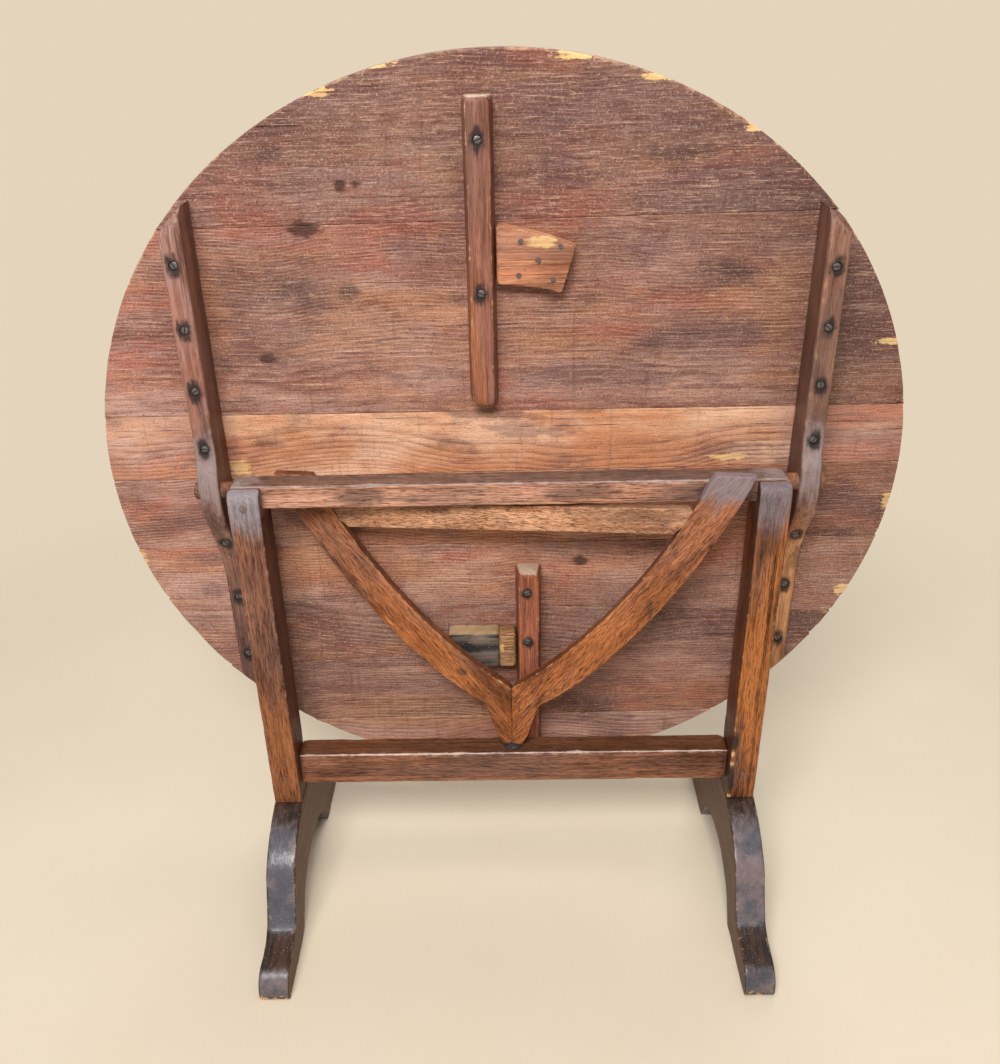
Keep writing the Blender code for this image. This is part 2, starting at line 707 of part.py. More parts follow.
def rim_outline(inset):
    """The round of the top, drawn in by an inset."""
    turns = [2 * math.pi * i / RIM_STEPS for i in range(RIM_STEPS)]
    return [(-TRESTLE_X + (TOP_WIDTH / 2 - inset) * math.cos(turn),
             TOP_Z + (TOP_HEIGHT / 2 - inset) * math.sin(turn)) for turn in turns]


def board_joints():
    """Height at the middle and slope of each joint, from the upper rim down."""
    joints = []
    fill = TOP_HEIGHT / sum(BOARD_WIDTHS)
    height = TOP_Z + TOP_HEIGHT / 2
    for width, slope in zip(BOARD_WIDTHS, JOINT_SLOPES):
        height -= width * fill
        joints.append((height, slope))
    return joints


def board_outline(above, below):
    """The part of the round top between two joints; None stands for the rim."""
    def height_over(point, joint, gap):
        middle, slope = joint
        return point[1] - (middle + slope * (point[0] + TRESTLE_X)) - gap

    outline = rim_outline(0.0)
    for joint, sign in ((above, -1), (below, 1)):
        if joint is None:
            continue
        kept = []
        for first, second in zip(outline, outline[1:] + outline[:1]):
            a = sign * height_over(first, joint, sign * GAP / 2)
            b = sign * height_over(second, joint, sign * GAP / 2)
            if a >= 0.0:
                kept.append(first)
            if a * b < 0.0:
                share = a / (a - b)
                kept.append((blend(first[0], second[0], share), blend(first[1], second[1], share)))
        outline = kept
    return outline


def batten_profile(side):
    """Height and front of the batten from its lower end to its upper end."""
    reach = rim_height(side * BATTEN_IN)
    low = TOP_Z - reach
    high = TOP_Z + reach
    seat = UNDERSIDE - GAP
    taper = PIVOT_Z - BATTEN_TAPER_RUN
    swell = PIVOT_Z + BATTEN_SWELL_RUN
    profile = [(seat - 0.004, low), (BATTEN_LOWER_FRONT, low + 0.012), (BATTEN_LOWER_FRONT, taper)]
    profile += bezier(profile[-1], (BATTEN_LOWER_FRONT, blend(taper, PIVOT_Z, 0.45)),
                      (BATTEN_PIVOT_FRONT, blend(taper, PIVOT_Z, 0.60)),
                      (BATTEN_PIVOT_FRONT, PIVOT_Z - PIN_RADIUS), 8)
    profile.append((BATTEN_PIVOT_FRONT, PIVOT_Z + PIN_RADIUS))
    profile += bezier(profile[-1], (BATTEN_PIVOT_FRONT, blend(PIVOT_Z, swell, 0.55)),
                      (BATTEN_FRONT, blend(PIVOT_Z, swell, 0.55)), (BATTEN_FRONT, swell), 5)
    profile.append((BATTEN_FRONT, high - BATTEN_NOSE))
    profile += bezier(profile[-1], (BATTEN_FRONT, high - BATTEN_NOSE * 0.45),
                      (blend(BATTEN_FRONT, seat, 0.35), high - BATTEN_NOSE * 0.1), (seat - 0.006, high), 5)
    return profile


def batten_front(side, height):
    profile = batten_profile(side)
    for (y0, z0), (y1, z1) in zip(profile, profile[1:]):
        if z0 <= height <= z1 and z1 > z0:
            return blend(y0, y1, (height - z0) / (z1 - z0))
    return BATTEN_FRONT


def batten_screw_places(side):
    reach = rim_height(side * BATTEN_OUT) - BATTEN_END_INSET - SCREW_END_INSET
    rows = ((UPPER_SCREWS, TOP_Z + reach, PIVOT_Z + UPPER_SCREW_CLEAR),
            (LOWER_SCREWS, PIVOT_Z - LOWER_SCREW_CLEAR, TOP_Z - reach))
    places = []
    for count, high, low in rows:
        for i in range(count):
            z = blend(high, low, i / (count - 1))
            places.append((side * (BATTEN_IN + BATTEN_WIDTH / 2), batten_front(side, z), z))
    return places


def upper_bar_end():
    return TOP_Z + rim_height(UPPER_BAR_X) - UPPER_BAR_INSET


def lower_bar_end():
    return TOP_Z - rim_height(LOWER_BAR_X) + LOWER_BAR_INSET


def screw_places():
    """The places of every screw in the top, under the name of its row."""
    upper_end = upper_bar_end()
    lower_end = PIVOT_Z - LOWER_BAR_START
    lower_x = LOWER_BAR_X + LOWER_SCREW_SHIFT
    return {"left_batten_screw": batten_screw_places(-1),
            "right_batten_screw": batten_screw_places(1),
            "upper_bar_screw": [(UPPER_BAR_X, UPPER_BAR_FACE, upper_end - d) for d in UPPER_BAR_SCREWS],
            "lower_bar_screw": [(lower_x, LOWER_BAR_FACE, lower_end - d) for d in LOWER_BAR_SCREWS]}


def screw(bm, place, slack):
    """A screw driven into the boards; with slack, its hole, open at the front."""
    x, face, z = place
    head = face + SCREW_SINK
    length = UNDERSIDE + SCREW_BITE + slack - head
    neck = SCREW_HEAD_THICKNESS + slack
    start = -SCREW_SINK - OVERCUT if slack else 0.0
    add_turned(bm, [(start, SCREW_HEAD_RADIUS + slack), (neck, SCREW_HEAD_RADIUS + slack),
                    (neck, SCREW_SHANK_RADIUS + slack), (length, SCREW_SHANK_RADIUS + slack)],
               (x, head, z), (0.0, 1.0, 0.0))


def screw_holes():
    bm = bmesh.new()
    for places in screw_places().values():
        for place in places:
            screw(bm, place, GAP)
    return bm


def plate_radii():
    return ARM_TIP_IN - PLATE_MARGIN, ARM_TIP_OUT + PLATE_MARGIN


def plate_face():
    return UNDERSIDE - GAP - PLATE_THICKNESS


def nail_places():
    inner, outer = plate_radii()
    places = []
    for turn in NAIL_ANGLES:
        for radius in (inner + NAIL_INSET, outer - NAIL_INSET):
            places.append((radius * math.sin(turn), plate_face(), PIVOT_Z + radius * math.cos(turn)))
    middle = (inner + outer) / 2
    turn = sum(NAIL_ANGLES) / len(NAIL_ANGLES)
    places.append((middle * math.sin(turn), plate_face(), PIVOT_Z + middle * math.cos(turn)))
    return places


def nail(bm, place):
    x, face, z = place
    head = face - GAP - NAIL_HEAD_THICKNESS
    neck = NAIL_HEAD_THICKNESS
    length = UNDERSIDE + NAIL_BITE - head
    add_turned(bm, [(0.0, NAIL_HEAD_RADIUS), (neck, NAIL_HEAD_RADIUS), (neck, NAIL_RADIUS),
                    (length, NAIL_RADIUS)], (x, head, z), (0.0, 1.0, 0.0))


def nail_holes():
    bm = bmesh.new()
    for x, face, z in nail_places():
        add_rod(bm, (x, face - OVERCUT, z), (x, UNDERSIDE + NAIL_BITE + GAP, z), NAIL_RADIUS + GAP)
    return bm


def make_boards():
    joints = board_joints()
    edges = [None] + joints + [None]
    boards = []
    for number, (above, below) in enumerate(zip(edges, edges[1:]), start=1):
        bm = bmesh.new()
        add_prism(bm, board_outline(above, below), UNDERSIDE, TOP_BACK, "Y")
        board = solid("board_%d" % number, bm)
        cut(board, screw_holes())
        cut(board, nail_holes())
        boards.append(board)
    return boards


def make_batten(name, side):
    seat = UNDERSIDE - GAP
    profile = batten_profile(side)
    outline = profile + [(seat, profile[-1][1]), (seat, profile[0][1])]
    bm = bmesh.new()
    inner, outer = sorted((side * BATTEN_IN, side * BATTEN_OUT))
    add_prism(bm, outline, inner, outer, "X")
    soften(bm, ARRIS * 2)
    batten = solid(name, bm)
    rim = bmesh.new()
    add_prism(rim, rim_outline(BATTEN_END_INSET), BATTEN_PIVOT_FRONT - OVERCUT, UNDERSIDE + OVERCUT, "Y")
    combine(batten, rim, "INTERSECT")
    hole = bmesh.new()
    pivot_pin(hole, side, GAP)
    cut(batten, hole)
    cut(batten, screw_holes())
    return batten


def make_bar(name, x, face, low, high):
    seat = UNDERSIDE - GAP
    outline = [(x - BAR_BASE / 2, seat), (x - BAR_FACE / 2, face),
               (x + BAR_FACE / 2, face), (x + BAR_BASE / 2, seat)]
    bm = bmesh.new()
    add_prism(bm, outline, low, high, "Z")
    soften(bm, ARRIS * 1.5)
    bar = solid(name, bm)
    cut(bar, screw_holes())
    return bar


def make_plate():
    """The curved pad that the right arm runs under when the top is level."""
    inner, outer = plate_radii()
    start_x = UPPER_BAR_X + BAR_BASE / 2 + GAP
    outline = []
    for radius, order in ((outer, 1), (inner, -1)):
        start = math.asin(start_x / radius)
        turns = [blend(start, PLATE_SWEEP, i / PLATE_STEPS) for i in range(PLATE_STEPS + 1)]
        outline += [(radius * math.sin(t), PIVOT_Z + radius * math.cos(t)) for t in turns[::order]]
    bm = bmesh.new()
    add_prism(bm, outline, plate_face(), UNDERSIDE - GAP, "Y")
    soften(bm, ARRIS)
    plate = solid("wear_plate", bm)
    cut(plate, nail_holes())
    return plate


def make_blocks():
    """The pad over the left arm: a blackened block and a pale end piece."""
    face = UNDERSIDE - GAP - BLOCK_THICKNESS
    low = PIVOT_Z - BLOCK_DROP - BLOCK_HEIGHT / 2
    right = LOWER_BAR_X - BAR_BASE / 2 - GAP
    blocks = []
    for name, width in (("end_block", END_BLOCK_WIDTH), ("wear_block", WEAR_BLOCK_WIDTH)):
        bm = bmesh.new()
        add_box(bm, (right - width, face, low), (right, UNDERSIDE - GAP, low + BLOCK_HEIGHT))
        soften(bm, ARRIS)
        blocks.append(solid(name, bm))
        right -= width + GAP
    return blocks


def make_top():
    upper_start = PIVOT_Z + UPPER_BAR_START
    lower_start = PIVOT_Z - LOWER_BAR_START
    pieces = make_boards()
    pieces += [make_batten("left_batten", -1),
               make_batten("right_batten", 1),
               make_bar("upper_stop_bar", UPPER_BAR_X, UPPER_BAR_FACE, upper_start, upper_bar_end()),
               make_bar("lower_stop_bar", LOWER_BAR_X, LOWER_BAR_FACE, lower_bar_end(), lower_start),
               make_plate()]
    pieces += make_blocks()
    for name, places in screw_places().items():
        for number, place in enumerate(places, start=1):
            bm = bmesh.new()
            screw(bm, place, 0.0)
            pieces.append(solid("%s_%d" % (name, number), bm))
    for number, place in enumerate(nail_places(), start=1):
        bm = bmesh.new()
        nail(bm, place)
        pieces.append(solid("plate_nail_%d" % number, bm))
    hang(pieces, (0.0, PIVOT_Y, PIVOT_Z))


def main():
    clear_scene()
    make_trestle()
    make_gate()
    make_top()
    for piece in bpy.data.objects:
        finish(piece)
        piece.location.x += TRESTLE_X


main()
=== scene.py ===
"""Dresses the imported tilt-top table as worn oak and pine, and sets up its studio.

Metres, +Z up, +X right and +Y away from the viewer, as in the frame.
"""
import json
import math

import bmesh
import bpy
import numpy as np
from mathutils import Matrix, Vector, noise


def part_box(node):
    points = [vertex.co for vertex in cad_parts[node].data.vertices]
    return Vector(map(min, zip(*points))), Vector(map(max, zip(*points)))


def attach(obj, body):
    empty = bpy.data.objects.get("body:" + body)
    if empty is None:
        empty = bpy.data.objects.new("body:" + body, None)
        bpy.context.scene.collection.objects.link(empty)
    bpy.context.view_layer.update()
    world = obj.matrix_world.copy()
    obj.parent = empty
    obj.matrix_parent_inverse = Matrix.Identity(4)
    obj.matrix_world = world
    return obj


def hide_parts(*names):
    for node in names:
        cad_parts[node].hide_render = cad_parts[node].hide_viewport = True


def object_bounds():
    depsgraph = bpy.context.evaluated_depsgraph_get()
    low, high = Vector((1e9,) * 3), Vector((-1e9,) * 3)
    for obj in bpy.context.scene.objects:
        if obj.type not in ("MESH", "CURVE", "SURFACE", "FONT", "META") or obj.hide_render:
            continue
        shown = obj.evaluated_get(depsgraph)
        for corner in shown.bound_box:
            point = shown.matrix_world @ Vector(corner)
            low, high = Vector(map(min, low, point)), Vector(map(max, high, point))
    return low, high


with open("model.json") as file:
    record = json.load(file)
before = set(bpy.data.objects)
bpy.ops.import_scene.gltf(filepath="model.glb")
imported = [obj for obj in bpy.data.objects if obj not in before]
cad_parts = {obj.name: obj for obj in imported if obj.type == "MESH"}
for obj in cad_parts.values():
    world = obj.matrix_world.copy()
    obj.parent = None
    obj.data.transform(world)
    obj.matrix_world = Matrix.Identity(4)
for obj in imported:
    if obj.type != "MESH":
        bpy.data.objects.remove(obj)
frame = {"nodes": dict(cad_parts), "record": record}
cad_low, cad_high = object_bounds()
NODES = frame["nodes"]
BODY_OF = {node: body for body, nodes in frame["record"]["behaviour"]["bodies"].items() for node in nodes}

# Camera, as found from the photograph's perspective
IMAGE_WIDTH = 1000
IMAGE_HEIGHT = 1064
FOCAL_PX = 1015.0
SENSOR = 36.0
CAMERA_AT = Vector((0.0101, -1.1334, 1.1934))
CAMERA_YAW = -0.0136
CAMERA_PITCH = 0.4904
CAMERA_ROLL = -0.0213

# Loft of a worn piece of wood
ARC_POINTS = 4             # round each corner of a section
EDGE_BAND = 0.0022         # worn strip beside an arris
END_ROUND = 0.0014         # softened end of a piece
WOBBLE = 0.0003            # how far a hand-worked face wanders
WOBBLE_TURNS = 30.0        # waves of that a metre
BREAK_TURNS = 31.0         # broken stretches of an arris a metre
NICK_TURNS = 140.0         # nicks in an arris a metre
JOINT_GAP = 0.0003         # left between pieces that touch
SHARP = math.radians(50)   # angle from which an edge is shaded sharp

X, Y, Z = 0, 1, 2


def tone(red, green, blue):
    """A colour given out of 255, as the linear values that a shader takes."""
    values = []
    for part in (red, green, blue):
        part /= 255
        values.append(part / 12.92 if part <= 0.04045 else ((part + 0.055) / 1.055) ** 2.4)
    return (*values, 1.0)


def blend(low, high, share):
    """low at a share of 0, high at 1."""
    return low + (high - low) * share


def step_up(value, low, high):
    """0 below low, 1 above high and a straight climb between."""
    return max(0.0, min(1.0, (value - low) / (high - low)))


# Materials

class Graph:
    """Short calls for the node tree of one material."""

    def __init__(self, name):
        self.material = bpy.data.materials.new(name)
        self.material.use_nodes = True
        self.tree = self.material.node_tree
        self.shader = self.tree.nodes["Principled BSDF"]

    def node(self, kind, **settings):
        made = self.tree.nodes.new(kind)
        for key, value in settings.items():
            setattr(made, key, value)
        return made

    def feed(self, socket, value):
        if isinstance(value, bpy.types.NodeSocket):
            self.tree.links.new(value, socket)
        else:
            socket.default_value = value

    def math(self, operation, first, second=0.0):
        made = self.node("ShaderNodeMath", operation=operation)
        self.feed(made.inputs[0], first)
        self.feed(made.inputs[1], second)
        return made.outputs[0]

    def add(self, *values):
        total = values[0]
        for value in values[1:]:
            total = self.math("ADD", total, value)
        return total

    def times(self, first, second):
        return self.math("MULTIPLY", first, second)

    def most(self, *values):
        largest = values[0]
        for value in values[1:]:
            largest = self.math("MAXIMUM", largest, value)
        return largest

    def vector(self, operation, first, second=(0.0, 0.0, 0.0)):
        made = self.node("ShaderNodeVectorMath", operation=operation)
        self.feed(made.inputs[0], first)
        self.feed(made.inputs[1], second)
        return made.outputs["Value" if operation == "LENGTH" else "Vector"]

    def split(self, place):
        made = self.node("ShaderNodeSeparateXYZ")
        self.feed(made.inputs[0], place)
        return made.outputs[0], made.outputs[1], made.outputs[2]

    def join(self, *parts):
        made = self.node("ShaderNodeCombineXYZ")
        for socket, part in zip(made.inputs, parts):
            self.feed(socket, part)
        return made.outputs[0]

    def ramp(self, value, low, high, start=0.0, end=1.0):
        """Smooth step from start, at low, to end, at high."""
        made = self.node("ShaderNodeMapRange", interpolation_type="SMOOTHSTEP")
        for socket, given in zip(made.inputs, (value, low, high, start, end)):
            self.feed(socket, given)
        return made.outputs[0]

    def mix(self, share, first, second):
        made = self.node("ShaderNodeMix", data_type="RGBA")
        self.feed(made.inputs["Factor"], share)
        sockets = [socket for socket in made.inputs if socket.type == "RGBA"]
        self.feed(sockets[0], first)
        self.feed(sockets[1], second)
        return next(socket for socket in made.outputs if socket.type == "RGBA")

    def noise(self, place, scale, detail=4.0, roughness=0.55):
        made = self.node("ShaderNodeTexNoise")
        self.feed(made.inputs["Vector"], place)
        self.feed(made.inputs["Scale"], scale)
        self.feed(made.inputs["Detail"], detail)
        self.feed(made.inputs["Roughness"], roughness)
        return made.outputs[0]

    def attribute(self, name, kind="GEOMETRY"):
        return self.node("ShaderNodeAttribute", attribute_name=name, attribute_type=kind).outputs["Fac"]

    def place(self):
        return self.node("ShaderNodeTexCoord").outputs["Object"]

    def grain(self, turn):
        """Object space turned so that the fibres run along the first axis, and moved apart by piece."""
        made = self.node("ShaderNodeMapping")
        self.feed(made.inputs["Vector"], self.place())
        self.feed(made.inputs["Rotation"], turn)
        apart = self.vector("SCALE", (1.7, 0.61, 0.43))
        self.feed(apart.node.inputs["Scale"], self.attribute("plank", "OBJECT"))
        return self.vector("ADD", made.outputs[0], apart)

    def streaks(self, place, along, across, detail=4.0, roughness=0.6):
        """Noise drawn out along the fibres; along and across are in turns a metre."""
        return self.noise(self.vector("MULTIPLY", place, (along, across, across)), 1.0, detail, roughness)

    def spots(self, place, spots):
        """1 in the middle of the ovals, each a centre and its radii, and 0 well outside them."""
        found = []
        for centre, radii in spots:
            away = self.vector("DIVIDE", self.vector("SUBTRACT", place, centre), radii)
            found.append(self.ramp(self.vector("LENGTH", away), 1.6, 0.0))
        return self.most(*found)

    def ragged(self, field, noise, share=2.4, low=0.45, high=0.62):
        """A soft field with its edge broken up by a noise."""
        broken = self.ramp(self.add(field, self.times(self.add(noise, -0.5), share)), low, high)
        return self.times(broken, self.ramp(field, 0.0, 0.25))

    def finish(self, colour, roughness, height, depth):
        self.feed(self.shader.inputs["Base Color"], colour)
        self.feed(self.shader.inputs["Roughness"], roughness)
        made = self.node("ShaderNodeBump")
        self.feed(made.inputs["Height"], height)
        self.feed(made.inputs["Distance"], depth)
        self.feed(self.shader.inputs["Normal"], made.outputs[0])
        return self.material


ALONG_X = (0.0, 0.0, 0.0)
ALONG_Y = (0.0, 0.0, -math.pi / 2)
ALONG_Z = (0.0, math.pi / 2, 0.0)
PORE = tone(44, 22, 14)
STAIN = tone(40, 37, 39)
SMUDGE = tone(74, 58, 54)
BARE = tone(236, 196, 134)
DRY = 0.20                 # specular level of wood that has lost its polish


def oak(name, turn, dark, light, side, wear_and_sheen, bare=0.5, gloss=0.44, stains=(), scars=(), smudges=(),
        streak=1.0, lower=None, glow=tone(196, 120, 68), pored=1.0):
    """Old waxed oak.

    dark and light are the ends of its streaks, side the tone of the painted shade laid on the faces
    marked for it and of random streaks of dirt, rubbed the tone of its worn places and of the
    painted highlight on a front arris, bare how far its arrises are worn and gloss its roughness; stains,
    scars and smudges are ovals; streak is how strong its streaks are; lower is the dark and light of its
    lower end, with the heights where that starts and is full, glow the tone of its golden patches and
    pored how open its pores are.
    """
    g = Graph(name)
    g.shader.inputs["Specular IOR Level"].default_value = DRY
    place = g.grain(turn)
    fixed = g.place()
    fibre = g.streaks(place, 5.0, 230.0, 5.0, 0.62)
    fine = g.streaks(place, 18.0, 760.0, 3.0)
    band = g.streaks(place, 1.6, 34.0, 4.0, 0.60)
    cloud = g.streaks(place, 9.0, 22.0, 5.0, 0.64)
    patchy = g.noise(place, 85.0, 5.0, 0.68)
    share = g.add(g.times(fibre, 0.50 * streak), g.times(fine, 0.34), g.times(band, 0.44 * streak),
                  g.times(cloud, 0.40), 0.47 * (1 - streak))
    share = g.ramp(share, 0.68, 0.99)
    colour = g.mix(share, dark, light)
    if lower:
        low_dark, low_light, start, full = lower
        down = g.ramp(g.add(g.split(fixed)[Z], g.times(g.add(cloud, -0.5), 0.12)), start, full)
        colour = g.mix(down, colour, g.mix(share, low_dark, low_light))
    hue = g.streaks(g.vector("ADD", place, (5.3, 1.1, 3.7)), 4.0, 24.0, 4.0, 0.62)
    colour = g.mix(g.ramp(hue, 0.50, 0.62, 0.0, 0.42), colour, tone(124, 96, 88))
    colour = g.mix(g.ramp(hue, 0.49, 0.37, 0.0, 0.42), colour, glow)
    seams = g.ramp(g.streaks(place, 3.0, 420.0, 3.0, 0.6), 0.59, 0.68)
    colour = g.mix(g.times(seams, 0.42 * streak), colour, PORE)
    pores = g.ramp(g.streaks(place, 52.0, 980.0, 3.0, 0.70), 0.54, 0.65)
    colour = g.mix(g.times(pores, 0.78 * pored), colour, PORE)
    dashes = g.streaks(place, 80.0, 900.0, 2.0, 0.7)
    colour = g.mix(g.ramp(dashes, 0.47, 0.32, 0.0, 0.50 * pored), colour, light)
    colour = g.mix(g.ramp(dashes, 0.54, 0.68, 0.0, 0.42 * pored), colour, PORE)
    shade_dirt_and_chips = g.ramp(g.streaks(place, 7.0, 26.0, 3.0, 0.50), 0.52, 0.70)
    colour = g.mix(g.times(shade_dirt_and_chips, 0.55), colour, side)
    scuff = g.ramp(g.streaks(place, 28.0, 420.0, 4.0, 0.7), 0.62, 0.70)
    colour = g.mix(g.times(scuff, 0.45), colour, light)
    # Painted shade on the faces that the loft marked for it, broken up a little by a noise
    shaded = g.times(g.attribute("shade_dirt_and_chips"), g.ramp(patchy, 0.20, 0.62, 1.0, 0.70))
    colour = g.mix(shaded, colour, side)
    edge = g.ramp(g.add(g.attribute("edge"), g.times(patchy, 1.5)), 1.74, 1.98)
    colour = g.mix(g.times(edge, bare), colour, tone(226, 184, 142))
    # Worn places, and the painted highlight along a front arris
    wear_and_highlight = g.ragged(g.attribute("worn"), g.times(g.add(patchy, cloud), 0.5), 2.2, 0.10, 0.95)
    colour = g.mix(g.times(wear_and_highlight, g.ramp(fibre, 0.38, 0.60, 0.80, 0.94)), colour, wear_and_sheen)
    dents = g.ramp(g.noise(place, 260.0, 2.0), 0.70, 0.75)
    colour = g.mix(g.times(dents, 0.55), colour, PORE)
    torn = g.times(g.add(patchy, fibre), 0.5)
    for ovals, broken, low, high, strength, mark in ((stains, 2.6, 0.14, 0.72, 0.90, STAIN),
                                                     (smudges, 2.6, 0.10, 0.80, 0.60, SMUDGE),
                                                     (scars, 4.0, 0.36, 0.80, 0.80, BARE)):
        if ovals:
            found = g.ragged(g.spots(fixed, ovals), torn, broken, low, high)
            colour = g.mix(g.times(found, strength), colour, mark)
    height = g.add(fibre, g.times(fine, 0.5), g.times(seams, -0.5), g.times(pores, -0.6 * pored),
                   g.times(dents, -0.9))
    return g.finish(colour, g.ramp(fibre, 0.25, 0.75, gloss - 0.10, gloss + 0.14), height, 0.0008)


# Marks on the boards: middle x and z, radii along x and z
KNOTS = ((-0.226, 0.955, 0.020, 0.011), (-0.179, 1.000, 0.008, 0.008), (-0.160, 1.003, 0.008, 0.005),
         (-0.286, 0.801, 0.011, 0.008), (0.102, 0.509, 0.012, 0.008))
SMUDGES = ((-0.304, 0.688, 0.024, 0.007), (-0.340, 0.793, 0.009, 0.013), (0.270, 0.898, 0.040, 0.018),
           (-0.310, 0.535, 0.024, 0.009), (-0.245, 0.885, 0.034, 0.018), (0.435, 0.545, 0.050, 0.012),
           (0.205, 1.030, 0.060, 0.012), (-0.180, 0.880, 0.016, 0.012), (-0.050, 0.870, 0.020, 0.010),
           (-0.260, 1.035, 0.030, 0.012), (0.390, 0.780, 0.030, 0.020), (0.110, 0.262, 0.060, 0.024))
RED_PATCHES = ((0.132, 0.827, 0.060, 0.012), (-0.120, 0.960, 0.080, 0.024), (-0.060, 0.520, 0.040, 0.012),
               (0.085, 0.480, 0.014, 0.010), (-0.280, 0.960, 0.050, 0.024), (0.200, 0.560, 0.050, 0.012),
               (0.075, 0.975, 0.070, 0.026), (0.220, 0.865, 0.050, 0.016))
GREYED = ((-0.240, 1.065, 0.150, 0.060), (0.150, 1.065, 0.190, 0.060), (0.270, 0.955, 0.120, 0.085),
          (-0.250, 0.890, 0.090, 0.048), (0.235, 0.815, 0.085, 0.032), (0.110, 0.770, 0.110, 0.018),
          (0.430, 0.860, 0.060, 0.120), (0.200, 0.430, 0.130, 0.060))
WARMED = ((-0.010, 1.030, 0.060, 0.075), (0.040, 0.925, 0.085, 0.050), (0.340, 0.835, 0.040, 0.070),
          (-0.120, 0.860, 0.120, 0.032), (-0.345, 0.870, 0.030, 0.080), (-0.170, 0.560, 0.110, 0.040),
          # The last oval on the next line, beside the left post, is painted light on the post's shadow
          (-0.130, 0.258, 0.180, 0.036), (-0.245, 0.520, 0.060, 0.046))
TAN_PATCHES = ((0.333, 0.862, 0.020, 0.070), (-0.330, 0.715, 0.030, 0.012), (0.250, 0.705, 0.120, 0.010),
               (0.480, 0.535, 0.030, 0.014), (-0.130, 0.258, 0.170, 0.034), (-0.070, 0.985, 0.026, 0.060),
               # The first oval on the next line, beside the left post, is painted light on the post's shadow
               (-0.245, 0.522, 0.050, 0.034), (-0.080, 0.256, 0.110, 0.030))
BARE_PATCHES = ((-0.340, 0.655, 0.016, 0.010), (0.292, 0.659, 0.026, 0.005), (-0.133, 1.127, 0.028, 0.006),
                (-0.200, 1.099, 0.022, 0.006), (0.090, 1.132, 0.028, 0.005), (0.179, 1.109, 0.018, 0.006),
                (0.284, 1.058, 0.011, 0.007), (0.501, 0.593, 0.007, 0.014), (0.463, 0.457, 0.012, 0.010),
                (0.472, 0.809, 0.018, 0.004), (-0.492, 0.520, 0.007, 0.016))
MARK_DEPTH = 0.012         # how deep a mark goes into the wood
YEAR = 0.0037              # between growth rings
PITH_BEHIND = 0.075        # from the face back to the middle of the rings


